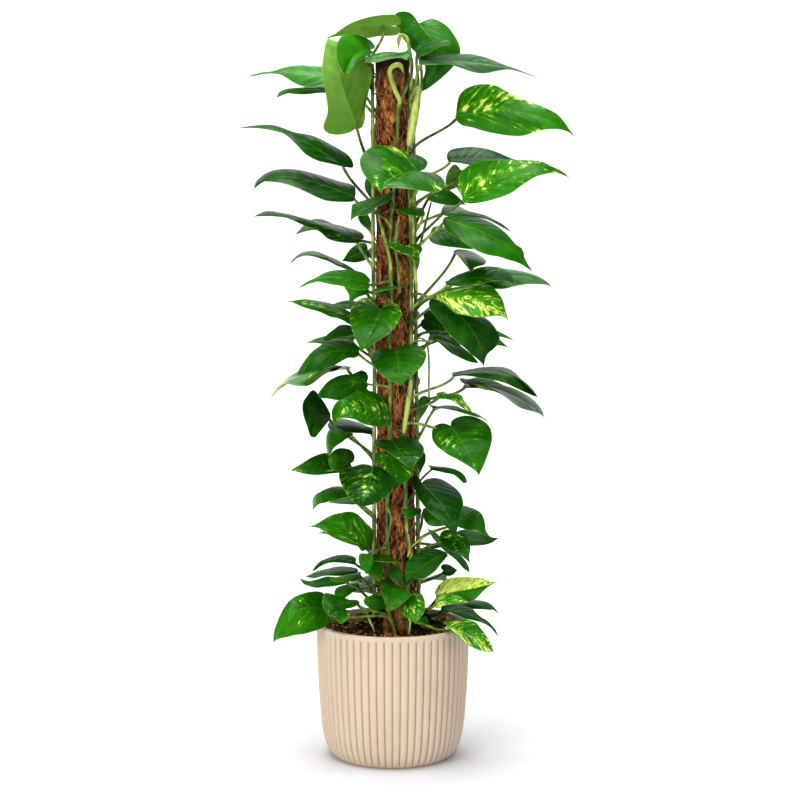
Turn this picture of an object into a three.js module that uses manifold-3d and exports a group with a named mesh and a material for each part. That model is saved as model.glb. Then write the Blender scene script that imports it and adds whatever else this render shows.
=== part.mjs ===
// Golden pothos (Epipremnum aureum) climbing a coir pole, standing in a ribbed round pot.
// Millimetres, +Z up, the plant's front towards -Y. Origin: centre of the pot's underside.
import * as THREE from 'three';
import { mergeVertices } from 'three/addons/utils/BufferGeometryUtils.js';
import Module from 'manifold-3d';

// ---- Driving dimensions -------------------------------------------------------------
const POT_HEIGHT = 224;
const POT_RADIUS = 128; // at the rim
const POT_FOOT_RADIUS = 96; // flat disc that the pot stands on
const POT_WALL = 9;
const POT_FLOOR = 12; // thickness of the pot's floor
const RIB_COUNT = 60;
const RIB_DEPTH = 3; // depth of the groove between two ribs
const RIB_TOP = 219; // the grooves end here, below a plain rim band

const SOIL_LEVEL = 209;
const CLEARANCE = 0.35; // between pieces that touch

const POLE_TOP = 1166;
const POLE_TOP_RADIUS = 27.5; // coir sleeve
const POLE_FOOT_RADIUS = 33;
const POLE_LEAN = 8; // how far the pole's foot stands to the right of its top
const STAKE_RADIUS = 12;

const STEM_RADIUS = 4;
const STEM_GAP = 0.65; // between the coir's thickest spots and a stem
const STEM_SIDES = 5;
const STEM_STEP = 62;
const STEM_BURIED = 35; // length of stem below the soil's surface
const PETIOLE_RADIUS = 2.1;
const PETIOLE_SUNK = 5; // length of the petiole's end inside the blade
const SHORT_PETIOLE = 90; // a shorter one has a single bend
// Shares of its span by which a petiole leaves the stem outward and upward, reaches below the
// blade's base and stands behind the blade's face.
const PETIOLE_OUT = 0.25;
const PETIOLE_UP = 0.3;
const PETIOLE_BELOW = 0.25;
const PETIOLE_BEHIND = 0.12;
// It nears the blade in this direction: level with it, and upward.
const APPROACH_LEVEL = 0.6;
const APPROACH_UP = 0.8;
const TOP_NODE_DROP = 4; // the highest petiole leaves this far below the stem's end
const BLADE_THICKNESS = 0.9;

// ---- Materials ----------------------------------------------------------------------
const paint = (colour, roughness) =>
  new THREE.MeshStandardMaterial({ color: colour, roughness, metalness: 0 });
const MATERIALS = {
  ceramic: paint(0xdcc7aa, 0.75),
  soil: paint(0x4a2f1d, 0.95),
  stake: paint(0x8a6a44, 0.8),
  coir: paint(0x8d5526, 0.95),
  leaf: paint(0x2f7a1c, 0.4),
};

// ---- Front elevation ----------------------------------------------------------------
// Points of the plant are set out on a front elevation drawn from EYE: `across` and `up`
// are measured on a sheet that stands through AIM, square to the line of sight, and the
// point then slides along its line of sight until it is `front` in front of the origin.
const EYE = new THREE.Vector3(12, -2800, 810);
const AIM = new THREE.Vector3(12, 0, 598);
const AIM_LEVEL = 600; // the elevation's own level at AIM
const SIGHT = AIM.clone().sub(EYE).normalize();
const SHEET_UP = new THREE.Vector3(0, -SIGHT.z, SIGHT.y);

function place(across, up, front) {
  const ray = AIM.clone().addScaledVector(SHEET_UP, up - AIM_LEVEL).sub(EYE);
  ray.x += across - AIM.x;
  return EYE.clone().addScaledVector(ray, (-front - EYE.y) / ray.y);
}

// Where a point is seen on the elevation: [across, up].
function onSheet(point) {
  const ray = point.clone().sub(EYE);
  const scale = AIM.distanceTo(EYE) / ray.dot(SIGHT);
  return [AIM.x + ray.x * scale, AIM_LEVEL + ray.dot(SHEET_UP) * scale];
}

// ---- Vines --------------------------------------------------------------------------
// The stems climb the pole. Each track lists heights from the soil to the stem's end, with
// the azimuth there in degrees round the pole: 0 at the front, 90 at the right.
const VINES = {
  left: [[SOIL_LEVEL, -82], [400, -88], [640, -72], [860, -86], [1152, -88]],
  front_left: [[SOIL_LEVEL, -5], [250, -18], [390, -23], [560, -14], [840, -11], [1040, 12], [1096, 17]],
  front_right: [
    [SOIL_LEVEL, 34], [270, 28], [340, 42], [400, 27], [550, 22], [600, 40], [640, 46], [840, 54],
    [1000, 46], [1108, 58],
  ],
  right: [[SOIL_LEVEL, 98], [560, 94], [800, 86], [905, 84], [1128, 92]],
  back_right: [[SOIL_LEVEL, 148], [500, 155], [800, 146], [1075, 152]],
  back_left: [[SOIL_LEVEL, -148], [500, -140], [800, -150], [1090, -142]],
};

// ---- Leaves -------------------------------------------------------------------------
// name, vine, base of the blade (across, up, front), tip (across, up, front), blade width,
// turn, arch, fold, lobe, rise
//   turn  degrees that the face is rolled about the midrib, from facing the front
//         towards facing up and outward (over 90 shows the underside)
//   arch  how far the middle of the midrib stands proud, as a share of the length
//   fold  degrees that each half of the blade is lifted from flat
//   lobe  how far the two lobes reach back past the petiole, as a share of the length
//   rise  height of the blade's base above the foot of its petiole
const LEAVES = [
  ["L2b", "left", -52, 909, 40, -36, 883, 35, 18, 20, 0.05, 0, 0.03, 30],
  ["L4b", "back_left", -42, 850, -55, -85, 831, -62, 36, 35, 0.05, 0, 0.03, 50],
  ["L6b", "front_left", -32, 781, 58, 24, 789, 58, 34, 80, 0.03, 0, 0.03, 10],
  ["L7b", "back_left", -60, 757, -40, -104, 758, -60, 30, 62, 0.05, 0, 0.03, 50],
  ["L9b", "back_left", -66, 700, -35, -146, 694, -50, 44, 66, 0.06, 0, 0.03, 50],
  ["L20b", "back_left", -58, 432, -30, -108, 428, -45, 32, 66, 0.05, 0, 0.03, 50],
  ["L21b", "back_left", -66, 380, -35, -126, 377, -50, 36, 70, 0.05, 0, 0.03, 50],
  ["C1", "back_left", -30, 968, -30, -35, 932, -36, 32, 10, 0.05, 0, 0.06, 60],
  ["C3", "right", 112, 984, -8, 88, 946, 4, 34, 150, 0.05, 0, 0.04, 60],
  ["C6", "front_right", 50, 918, 42, 0, 918, 56, 34, 66, 0.02, -18, 0.03, 45],
  ["C22", "front_left", -45, 343, 78, -44, 308, 94, 24, 0, 0.05, 0, 0.05, 0],
  ["C23", "front_left", -38, 330, 50, -20, 297, 68, 30, 25, 0.05, 0, 0.04, 35],
  ["C24", "front_left", -36, 338, 60, 18, 327, 66, 26, 66, 0.04, 0, 0.03, 5],
  ["R3d", "right", 62, 945, -12, 122, 925, -25, 40, 45, 0.06, 0, 0.05, 50],
  ["R8b", "right", 104, 724, -20, 204, 698, -35, 32, 60, 0.06, 0, 0.03, 20],
  ["R8c", "back_right", 100, 720, -80, 193, 687, -95, 52, 55, 0.06, 0, 0.03, 55],
  ["R9b", "right", 62, 707, 5, 122, 689, 5, 36, 66, 0.05, 0, 0.03, 40],
  ["R10", "back_right", 52, 736, -28, 100, 708, -40, 44, 40, 0.05, 0, 0.05, 45],
  ["R19b", "back_right", 80, 362, -58, 57, 386, -54, 22, 60, 0.03, 0, 0.03, 5],
  ["R28", "back_right", 84, 316, -35, 108, 316, -45, 26, 40, 0.05, 0, 0.08, 40],
  ["R30", "right", 50, 238, 34, 55, 212, 42, 18, 30, 0.05, 0, 0.05, 24],
];

// Leaves drawn point by point: name; vine; base, middle and tip of the midrib, and the widest
// points left and right of it, as [across, up, front]; the margins left and right, from base to
// tip, as [across, up]; rise. Left is as seen from base to tip on the upper face.
const DRAWN_LEAVES = [
  ["T1", "left", [[-15, 1225, 5], [-62, 1221, 20], [-114, 1201, 28]], [[-30, 1240, 28], [-36, 1206, -8]],
    [[[10, 1225], [13, 1235], [3, 1243], [-50, 1235]],
      [[11, 1221], [12, 1213], [3, 1207], [-86, 1207]]], 75],
  ["T2", "left", [[-38, 1183, 25], [-62, 1176, 72], [-80, 1141, 98]], [[-55, 1167, 78], [-78, 1209, 52]],
    [[[-32, 1180], [-42, 1175], [-54, 1166], [-73, 1146]],
      [[-30, 1188], [-38, 1199], [-58, 1208], [-91, 1199]]], 60],
  ["T3", "left", [[-60, 1053, 30], [-82, 1118, 55], [-108, 1205, 8]], [[-38, 1106, 20], [-112, 1090, 22]],
    [[[-52, 1053], [-47, 1068], [-46, 1091], [-34, 1140], [-40, 1165], [-66, 1188]],
      [[-90, 1042], [-107, 1045], [-115, 1056], [-110, 1080], [-117, 1150], [-113, 1190]]], 60],
  ["T4", "back_left", [[-60, 1135, -42], [-150, 1146, -50], [-242, 1139, -60]], [[-105, 1121, -30],
        [-105, 1157, -80]],
    [[[-58, 1126], [-72, 1122], [-120, 1121], [-158, 1127], [-186, 1142]],
      [[-58, 1144], [-75, 1153], [-130, 1159], [-178, 1154], [-220, 1146]]], 70],
  ["T5", "back_left", [[-62, 1117, -45], [-135, 1118, -50], [-195, 1103, -60]], [[-100, 1111, -34],
        [-100, 1126, -66]],
    [[[-66, 1112], [-90, 1110], [-140, 1110], [-182, 1111], [-190, 1107]],
      [[-64, 1122], [-85, 1126], [-135, 1124], [-178, 1117], [-190, 1111]]], 60],
  ["T6", "front_left", [[31, 1181, 46], [-12, 1174, 62], [-53, 1164, 60]], [[10, 1168, 70], [10, 1184, 44]],
    [[[32, 1174], [24, 1168], [13, 1170], [-26, 1164]],
      [[28, 1187], [20, 1181], [3, 1178], [-29, 1179]]], 93],
  ["T7", "right", [[38, 1181, 24], [72, 1192, 42], [99, 1193, 46]], [[64, 1197, 26], [62, 1180, 52]],
    [[[37, 1188], [47, 1196], [88, 1200], [96, 1197]],
      [[42, 1173], [56, 1178], [70, 1185], [80, 1189]]], 70],
  ["T9", "right", [[43, 1228, -15], [74, 1182, 2], [46, 1112, -12]], [[106, 1198, -14], [22, 1204, -22]],
    [[[68, 1235], [88, 1225], [104, 1206], [113, 1182], [104, 1160], [84, 1139]],
      [[30, 1245], [15, 1248], [2, 1241], [6, 1222], [22, 1196], [54, 1155]]], 135],
  ["T12", "front_right", [[45, 1166, 44], [148, 1161, 56], [242, 1137, 50]], [[95, 1177, 10],
        [95, 1154, 86]],
    [[[50, 1174], [66, 1177], [112, 1177], [158, 1168], [182, 1161]],
      [[46, 1160], [88, 1157], [128, 1149], [150, 1148], [198, 1150]]], 60],
  ["T13", "front_right", [[104, 1072, 35], [205, 1080, 62], [305, 1037, 60]], [[156, 1125, 22],
        [185, 1040, 66]],
    [[[111, 1079], [108, 1100], [119, 1116], [144, 1124], [169, 1124], [274, 1076]],
      [[117, 1057], [167, 1044], [213, 1041], [242, 1049], [265, 1051], [283, 1050]]], 60],
  ["L1", "left", [[-80, 988, 30], [-160, 1037, 50], [-259, 1053, 50]], [[-118, 997, 62], [-110, 1031, 2]],
    [[[-124, 997], [-144, 1009], [-180, 1043], [-200, 1049], [-225, 1053]],
      [[-67, 987], [-76, 1009], [-129, 1040], [-165, 1046], [-200, 1058]]], 60],
  ["L2", "front_left", [[-63, 938, 45], [-158, 970, 60], [-233, 950, 60]], [[-112, 934, 78],
        [-112, 973, 16]],
    [[[-66, 931], [-112, 934], [-172, 957], [-204, 964], [-225, 962]],
      [[-66, 957], [-129, 979], [-179, 984], [-214, 976], [-229, 963]]], 50],
  ["L3", "left", [[-60, 868, 25], [-142, 897, 34], [-233, 906, 35]], [[-95, 863, 52], [-110, 895, -6]],
    [[[-46, 866], [-58, 861], [-80, 861], [-122, 882], [-186, 906]],
      [[-48, 871], [-54, 878], [-103, 893], [-174, 911], [-208, 914]]], 45],
  ["L3b", "back_left", [[-96, 886, -45], [-128, 892, -50], [-163, 875, -60]], [[-115, 882, -30],
        [-112, 899, -75]],
    [[[-100, 882], [-130, 883], [-145, 881], [-156, 878]],
      [[-97, 892], [-110, 899], [-125, 902], [-138, 899]]], 40],
  ["L4", "left", [[-61, 813, -10], [-128, 842, -2], [-173, 824, -5]], [[-95, 825, 14], [-93, 833, -34]],
    [[[-62, 810], [-107, 832], [-135, 839], [-158, 837], [-167, 832]],
      [[-82, 828], [-100, 836], [-118, 843], [-135, 845], [-160, 844]]], 50],
  ["L5", "front_left", [[-40, 795, 58], [-104, 806, 76], [-157, 786, 72]], [[-72, 790, 90], [-68, 817, 36]],
    [[[-39, 786], [-50, 782], [-91, 792], [-125, 797], [-142, 793]],
      [[-37, 799], [-48, 812], [-71, 817], [-103, 815], [-114, 812]]], 2],
  ["L6", "front_left", [[-40, 784, 62], [-58, 781, 92], [-73, 761, 118]], [[-55, 773, 84], [-76, 790, 86]],
    [[[-40, 779], [-63, 769], [-70, 765]],
      [[-44, 791], [-58, 795], [-80, 789]]], 14],
  ["L7", "left", [[-62, 735, 20], [-122, 757, 34], [-175, 764, 30]], [[-95, 737, 46], [-100, 760, 4]],
    [[[-64, 724], [-71, 725], [-93, 738], [-139, 750], [-167, 763]],
      [[-60, 742], [-70, 745], [-91, 756], [-114, 764], [-142, 768]]], 50],
  ["L8", "front_left", [[-20, 752, 48], [-32, 722, 86], [-55, 680, 112]], [[11, 742, 70], [-70, 738, 62]],
    [[[-3, 765], [12, 753], [14, 742], [-9, 710]],
      [[-39, 771], [-50, 771], [-68, 756], [-71, 731]]], 40],
  ["L9", "left", [[-62, 716, 10], [-95, 714, 24], [-121, 697, 25]], [[-88, 704, 30], [-86, 725, 6]],
    [[[-63, 710], [-78, 706], [-90, 704], [-112, 697]],
      [[-66, 722], [-76, 725], [-89, 724], [-107, 711]]], 45],
  ["L10", "front_left", [[-56, 681, 40], [-112, 678, 78], [-160, 633, 75]], [[-85, 664, 72],
        [-92, 699, 36]],
    [[[-56, 675], [-64, 670], [-75, 670], [-96, 659], [-152, 640]],
      [[-56, 688], [-66, 694], [-114, 697], [-144, 669], [-157, 649]]], 50],
  ["L11", "left", [[-72, 652, 0], [-146, 640, 22], [-205, 601, 15]], [[-110, 646, 34], [-108, 656, -24]],
    [[[-78, 644], [-110, 646], [-121, 642], [-153, 626], [-193, 613]],
      [[-70, 655], [-75, 657], [-120, 656], [-165, 646], [-182, 635]]], 50],
  ["L12", "front_left", [[-43, 630, 34], [-88, 626, 64], [-126, 606, 70]], [[-72, 607, 62], [-72, 643, 46]],
    [[[-42, 622], [-50, 612], [-65, 605], [-95, 600]],
      [[-44, 645], [-52, 649], [-89, 641], [-109, 630]]], 12],
  ["L13", "front_left", [[-9, 578, 46], [-58, 588, 92], [-97, 556, 116]], [[-30, 556, 92], [-36, 614, 50]],
    [[[-3, 564], [-14, 556], [-78, 570], [-90, 569]],
      [[-14, 603], [-50, 617], [-98, 591], [-102, 582]]], 40],
  ["L14", "left", [[-104, 573, 20], [-128, 570, 60], [-135, 535, 100]], [[-117, 557, 60], [-128, 610, 30]],
    [[[-105, 568], [-115, 557], [-118, 551], [-125, 543]],
      [[-128, 612], [-134, 616], [-139, 613], [-149, 582]]], 70],
  ["L15", "back_left", [[-34, 548, -30], [-72, 558, -14], [-110, 558, -24]], [[-62, 545, -4],
        [-60, 560, -50]],
    [[[-36, 543], [-50, 545], [-98, 548], [-106, 552]],
      [[-34, 553], [-76, 568], [-94, 569], [-105, 564]]], 50],
  ["L16", "left", [[-66, 543, 26], [-98, 540, 50], [-106, 502, 60]], [[-82, 531, 50], [-84, 546, 32]],
    [[[-76, 537], [-92, 525], [-99, 518], [-104, 509]],
      [[-68, 546], [-89, 546], [-107, 537], [-110, 513]]], 45],
  ["L17", "left", [[-84, 487, 20], [-130, 494, 32], [-170, 482, 25]], [[-110, 476, 40], [-112, 510, 8]],
    [[[-84, 481], [-92, 478], [-118, 476], [-149, 477]],
      [[-84, 493], [-92, 506], [-113, 512], [-137, 503]]], 50],
  ["L18", "left", [[-70, 494, 20], [-88, 500, 52], [-105, 488, 64]], [[-80, 485, 40], [-84, 520, 30]],
    [[[-72, 489], [-90, 483], [-99, 484]],
      [[-67, 513], [-84, 520], [-104, 509]]], 45],
  ["L19", "left", [[-34, 489, 68], [-40, 458, 112], [-53, 421, 136]], [[0, 464, 86], [-86, 468, 84]],
    [[[-9, 479], [2, 461], [0, 452], [-28, 427]],
      [[-52, 493], [-88, 482], [-84, 455], [-75, 440]]], 25],
  ["L20", "left", [[-70, 443, 25], [-108, 446, 48], [-134, 414, 45]], [[-92, 433, 46], [-92, 457, 18]],
    [[[-72, 439], [-99, 432], [-122, 427], [-130, 420]],
      [[-70, 449], [-89, 457], [-110, 452], [-134, 435]]], 40],
  ["L21", "front_left", [[-42, 352, 40], [-88, 389, 72], [-141, 387, 65]], [[-78, 361, 74], [-60, 409, 40]],
    [[[-53, 349], [-58, 356], [-97, 369], [-118, 384], [-130, 388]],
      [[-36, 357], [-32, 370], [-34, 384], [-64, 412], [-100, 409]]], 35],
  ["L22", "left", [[-62, 331, 15], [-106, 336, 26], [-135, 312, 25]], [[-85, 328, 34], [-82, 342, 0]],
    [[[-65, 326], [-87, 329], [-101, 329], [-113, 326]],
      [[-61, 336], [-67, 340], [-104, 338], [-117, 332]]], 30],
  ["L23", "left", [[-58, 316, -8], [-105, 316, 4], [-147, 304, 0]], [[-85, 309, 14], [-84, 321, -22]],
    [[[-60, 312], [-72, 309], [-100, 306], [-130, 304]],
      [[-60, 320], [-74, 321], [-112, 319], [-124, 316]]], 35],
  ["L24", "front_left", [[-74, 300, 50], [-116, 296, 66], [-156, 303, 66]], [[-95, 290, 70],
        [-96, 305, 46]],
    [[[-76, 294], [-129, 286], [-142, 290], [-149, 294]],
      [[-76, 304], [-108, 305], [-142, 298], [-151, 299]]], 40],
  ["L25", "front_left", [[-54, 305, 72], [-82, 304, 94], [-106, 302, 104]], [[-74, 297, 96],
        [-74, 309, 74]],
    [[[-54, 301], [-74, 297], [-87, 296], [-97, 298]],
      [[-54, 313], [-65, 312], [-79, 308], [-90, 305]]], 35],
  ["L26", "left", [[-56, 292, 34], [-78, 284, 58], [-90, 267, 66]], [[-70, 278, 56], [-82, 290, 40]],
    [[[-57, 288], [-74, 274], [-81, 269]],
      [[-60, 296], [-90, 289], [-97, 275]]], 40],
  ["L27", "left", [[-107, 250, 52], [-158, 250, 92], [-200, 193, 98]], [[-140, 212, 96], [-138, 280, 50]],
    [[[-101, 243], [-100, 236], [-115, 221], [-151, 209], [-192, 201]],
      [[-104, 262], [-120, 280], [-145, 278], [-167, 270], [-187, 244]]], 40],
  ["L28", "front_left", [[-55, 262, 78], [-92, 259, 112], [-101, 234, 126]], [[-80, 252, 106],
        [-84, 268, 92]],
    [[[-60, 257], [-72, 253], [-85, 251], [-93, 246]],
      [[-60, 266], [-93, 266], [-111, 277], [-117, 260]]], 38],
  ["L29", "front_left", [[-84, 249, 88], [-84, 239, 100], [-85, 226, 106]], [[-73, 244, 98],
        [-96, 240, 96]],
    [[[-80, 251], [-73, 248], [-72, 243]],
      [[-90, 249], [-97, 244], [-97, 236]]], 30],
  ["C0", "front_right", [[46, 981, 52], [6, 974, 92], [-21, 945, 122]], [[60, 947, 112], [-20, 1022, 52]],
    [[[70, 978], [84, 968], [86, 957], [72, 947], [47, 948], [-10, 954]],
      [[58, 997], [48, 1006], [-30, 1023], [-48, 1013], [-55, 998], [-48, 976]]], 50],
  ["C2", "front_left", [[0, 946, 52], [-38, 922, 72], [-71, 899, 84]], [[-20, 925, 80], [-26, 936, 56]],
    [[[-2, 938], [-14, 927], [-37, 911], [-58, 907]],
      [[-2, 950], [-46, 927], [-56, 923], [-66, 923]]], 50],
  ["C5", "front_right", [[44, 841, 44], [16, 853, 64], [-14, 860, 68]], [[26, 840, 66], [30, 860, 48]],
    [[[45, 834], [42, 828], [36, 834], [14, 844]],
      [[49, 852], [43, 858], [21, 858], [-4, 863]]], 35],
  ["C10", "front_left", [[6, 683, 48], [9, 655, 92], [13, 623, 114]], [[52, 668, 66], [-33, 668, 66]],
    [[[32, 692], [45, 689], [56, 674], [45, 653]],
      [[-23, 685], [-32, 680], [-35, 662], [-18, 641]]], 40],
  ["C11", "front_right", [[-2, 531, 58], [15, 510, 92], [29, 481, 112]], [[48, 518, 76], [-22, 522, 78]],
    [[[21, 540], [41, 534], [48, 527], [50, 509]],
      [[-21, 535], [-29, 534], [-32, 529], [21, 492]]], 40],
  ["C11b", "right", [[50, 514, 28], [49, 498, 40], [45, 480, 46]], [[54, 500, 36], [38, 502, 40]],
    [[[53, 512], [55, 506], [54, 496]],
      [[46, 513], [40, 506], [38, 498]]], 40],
  ["C12", "front_right", [[-6, 507, 50], [3, 482, 68], [5, 453, 78]], [[32, 482, 62], [-24, 490, 60]],
    [[[6, 512], [20, 504], [31, 490], [34, 477]],
      [[-23, 513], [-31, 509], [-29, 500], [-1, 466]]], 40],
  ["C20", "front_left", [[-12, 264, 60], [-28, 266, 80], [-49, 262, 92]], [[-30, 251, 84], [-28, 274, 72]],
    [[[-12, 256], [-22, 250], [-35, 251]],
      [[-14, 270], [-30, 275], [-48, 268]]], 35],
  ["C25", "front_left", [[5, 324, 50], [8, 308, 66], [12, 291, 78]], [[17, 304, 66], [-5, 309, 66]],
    [[[10, 321], [15, 312], [17, 302]],
      [[0, 320], [-6, 311], [-3, 303]]], 35],
  ["C26", "front_left", [[2, 292, 60], [-2, 272, 92], [-7, 247, 104]], [[26, 275, 84], [-18, 284, 80]],
    [[[27, 279], [28, 273], [12, 257]],
      [[-2, 301], [-8, 303], [-21, 294]]], 35],
  ["C27", "front_right", [[26, 270, 66], [34, 250, 96], [38, 228, 108]], [[52, 258, 88], [16, 252, 88]],
    [[[41, 281], [53, 266], [52, 246]],
      [[22, 262], [14, 255], [12, 247]]], 28],
  ["C28", "right", [[91, 345, 32], [56, 327, 56], [14, 283, 66]], [[62, 308, 60], [48, 349, 34]],
    [[[88, 336], [61, 307], [50, 302], [32, 300]],
      [[75, 351], [50, 350], [29, 336], [23, 327]]], 15],
  ["C30", "front_right", [[48, 415, 42], [30, 412, 56], [24, 399, 60]], [[38, 408, 56], [32, 419, 50]],
    [[[46, 411], [38, 408], [30, 402]],
      [[46, 419], [25, 419], [14, 417]]], 40],
  ["R1", "right", [[92, 998, -10], [150, 1003, -14], [205, 1000, -30]], [[120, 1022, -34], [120, 995, 12]],
    [[[91, 1011], [95, 1016], [103, 1020], [121, 1022], [156, 1018]],
      [[98, 996], [131, 994], [150, 995], [175, 996], [192, 998]]], 40],
  ["R2", "front_right", [[116, 936, 48], [204, 977, 78], [296, 970, 60]], [[150, 997, 30], [160, 930, 84]],
    [[[107, 953], [107, 971], [125, 988], [149, 997], [240, 999]],
      [[117, 930], [130, 927], [160, 931], [238, 972], [267, 979]]], 55],
  ["R3", "front_right", [[84, 902, 55], [163, 873, 88], [233, 814, 85]], [[150, 905, 36], [107, 870, 92]],
    [[[88, 905], [103, 906], [144, 904], [170, 894], [214, 853]],
      [[89, 884], [121, 859], [145, 847], [180, 839], [205, 830]]], 60],
  ["R3b", "right", [[80, 914, -5], [150, 906, 4], [197, 879, -20]], [[125, 918, -30], [110, 905, 20]],
    [[[84, 922], [98, 924], [112, 922], [164, 903], [190, 887]],
      [[84, 908], [105, 906], [130, 905], [150, 902], [182, 889]]], 50],
  ["R3c", "back_right", [[64, 882, -50], [104, 874, -50], [144, 851, -60]], [[80, 889, -76],
        [85, 856, -20]],
    [[[68, 889], [80, 890], [93, 886], [120, 868]],
      [[60, 873], [64, 864], [76, 858], [92, 855]]], 50],
  ["R4", "right", [[104, 850, 8], [119, 838, 60], [130, 812, 88]], [[150, 836, 30], [106, 843, 60]],
    [[[128, 848], [152, 837], [152, 825]],
      [[101, 847], [120, 827], [126, 819]]], 90],
  ["R5", "front_right", [[88, 795, 52], [150, 803, 70], [203, 793, 68]], [[130, 816, 34], [120, 790, 76]],
    [[[87, 798], [109, 809], [159, 822], [173, 821], [197, 810]],
      [[98, 790], [116, 790], [148, 793], [175, 799], [190, 798]]], 45],
  ["R6", "right", [[98, 797, 8], [190, 808, 16], [266, 787, 0]], [[150, 820, -34], [150, 786, 48]],
    [[[98, 804], [112, 812], [170, 820], [230, 812], [251, 801]],
      [[100, 792], [125, 789], [158, 790], [187, 787], [253, 793]]], 45],
  ["R7", "front_right", [[73, 776, 62], [138, 768, 94], [194, 731, 96]], [[125, 791, 50], [95, 753, 96]],
    [[[79, 780], [112, 791], [160, 790], [168, 785], [183, 768]],
      [[74, 768], [106, 744], [131, 738], [174, 741], [185, 738]]], 5],
  ["R8", "front_right", [[72, 768, 34], [124, 727, 74], [152, 655, 66]], [[125, 745, 40], [66, 738, 58]],
    [[[108, 742], [148, 738], [175, 713], [177, 695], [159, 678]],
      [[66, 770], [61, 765], [60, 757], [64, 748], [90, 714]]], 45],
  ["R9", "front_right", [[66, 704, 20], [112, 688, 32], [143, 660, 46]], [[95, 705, 10], [85, 692, 34]],
    [[[66, 708], [92, 705], [125, 681], [136, 670]],
      [[65, 699], [76, 700], [84, 694], [98, 673]]], 10],
  ["R11", "front_right", [[99, 641, 40], [180, 647, 64], [243, 603, 56]], [[140, 653, 20], [135, 640, 66]],
    [[[100, 647], [136, 653], [154, 655], [186, 653], [209, 640]],
      [[102, 638], [129, 640], [157, 637], [172, 633], [202, 618]]], 45],
  ["R12", "right", [[120, 626, 12], [186, 612, 30], [254, 570, 15]], [[150, 637, -16], [150, 619, 44]],
    [[[113, 632], [113, 638], [154, 637], [220, 612], [239, 598]],
      [[117, 622], [147, 620], [200, 594], [241, 579], [249, 575]]], 40],
  ["R13", "front_right", [[74, 606, 48], [106, 605, 60], [133, 578, 64]], [[96, 612, 44], [90, 600, 60]],
    [[[73, 611], [84, 613], [92, 610], [113, 609]],
      [[70, 599], [78, 602], [97, 599], [107, 594]]], 35],
  ["R13b", "right", [[60, 604, 18], [54, 595, 30], [47, 577, 28]], [[61, 594, 26], [45, 598, 26]],
    [[[61, 600], [59, 592], [54, 585]],
      [[54, 607], [46, 604], [42, 596]]], 40],
  ["R14", "right", [[66, 586, -10], [115, 585, 0], [164, 559, -2]], [[92, 592, -24], [92, 584, 8]],
    [[[64, 591], [93, 592], [107, 589], [136, 576]],
      [[66, 580], [83, 586], [111, 582], [125, 578]]], 50],
  ["R15", "front_right", [[96, 557, 36], [119, 523, 82], [144, 474, 104]], [[158, 558, 44], [70, 530, 60]],
    [[[100, 567], [125, 574], [161, 556], [165, 531]],
      [[72, 558], [66, 551], [67, 532], [83, 515]]], 2],
  ["R16", "right", [[62, 487, 5], [104, 483, 14], [124, 460, 12]], [[85, 490, -6], [85, 478, 16]],
    [[[59, 492], [97, 486], [111, 481], [120, 473]],
      [[64, 484], [88, 478], [104, 475], [119, 461]]], 28],
  ["R17", "front_right", [[48, 462, 42], [82, 424, 90], [105, 369, 100]], [[112, 445, 50], [38, 444, 64]],
    [[[61, 469], [84, 467], [107, 451], [114, 441], [117, 421]],
      [[37, 475], [32, 470], [33, 458], [45, 433], [95, 383]]], 40],
  ["R18", "right", [[103, 376, 36], [117, 352, 60], [129, 329, 66]], [[127, 366, 50], [86, 356, 44]],
    [[[108, 380], [118, 377], [125, 369], [129, 358]],
      [[91, 384], [82, 381], [78, 372], [82, 361]]], 40],
  ["R19", "right", [[80, 364, -6], [108, 344, 10], [128, 311, 12]], [[100, 354, -4], [88, 348, 16]],
    [[[84, 364], [95, 354], [118, 336], [125, 325]],
      [[78, 358], [96, 340], [108, 330], [118, 320]]], 25],
  ["R20", "right", [[108, 402, 8], [134, 400, 34], [163, 369, 40]], [[134, 420, 6], [122, 385, 34]],
    [[[108, 412], [117, 423], [141, 416], [148, 410]],
      [[104, 396], [109, 389], [143, 381], [153, 377]]], 40],
  ["R21", "back_right", [[106, 372, -38], [142, 367, -30], [177, 370, -46]], [[125, 384, -56],
        [130, 358, -20]],
    [[[107, 380], [124, 384], [140, 382], [165, 371]],
      [[108, 364], [118, 359], [128, 357], [155, 359]]], 40],
  ["R22", "right", [[50, 418, 10], [66, 404, 24], [88, 391, 22]], [[70, 412, 14], [55, 400, 20]],
    [[[55, 420], [66, 412], [76, 402]],
      [[54, 398], [61, 391], [72, 389]]], 40],
  ["R23", "right", [[72, 272, 28], [124, 283, 48], [175, 296, 44]], [[105, 305, 22], [118, 266, 56]],
    [[[70, 277], [77, 291], [86, 298], [97, 303], [122, 306]],
      [[82, 268], [112, 270], [127, 263], [136, 268], [163, 291]]], 45],
  ["R24", "front_right", [[71, 262, 72], [98, 270, 88], [127, 262, 92]], [[90, 277, 64], [84, 256, 92]],
    [[[69, 266], [72, 270], [89, 277], [107, 275]],
      [[69, 257], [76, 252], [84, 257], [95, 260]]], 30],
  ["R25", "right", [[100, 257, 8], [140, 260, 18], [177, 243, 4]], [[130, 268, -14], [125, 250, 26]],
    [[[102, 262], [118, 268], [141, 267], [161, 261]],
      [[104, 252], [118, 251], [132, 252], [170, 250]]], 35],
  ["R26", "right", [[80, 252, 38], [130, 243, 62], [176, 205, 56]], [[115, 258, 34], [110, 241, 66]],
    [[[82, 256], [95, 260], [115, 258], [133, 252], [165, 224]],
      [[85, 247], [100, 245], [120, 235], [149, 229], [167, 217]]], 30],
  ["R27", "front_right", [[90, 224, 84], [132, 207, 118], [168, 179, 122]], [[118, 233, 84],
        [108, 206, 124]],
    [[[84, 228], [87, 232], [118, 234], [139, 228]],
      [[87, 220], [96, 217], [127, 191], [150, 182]]], 12],
];

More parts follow.
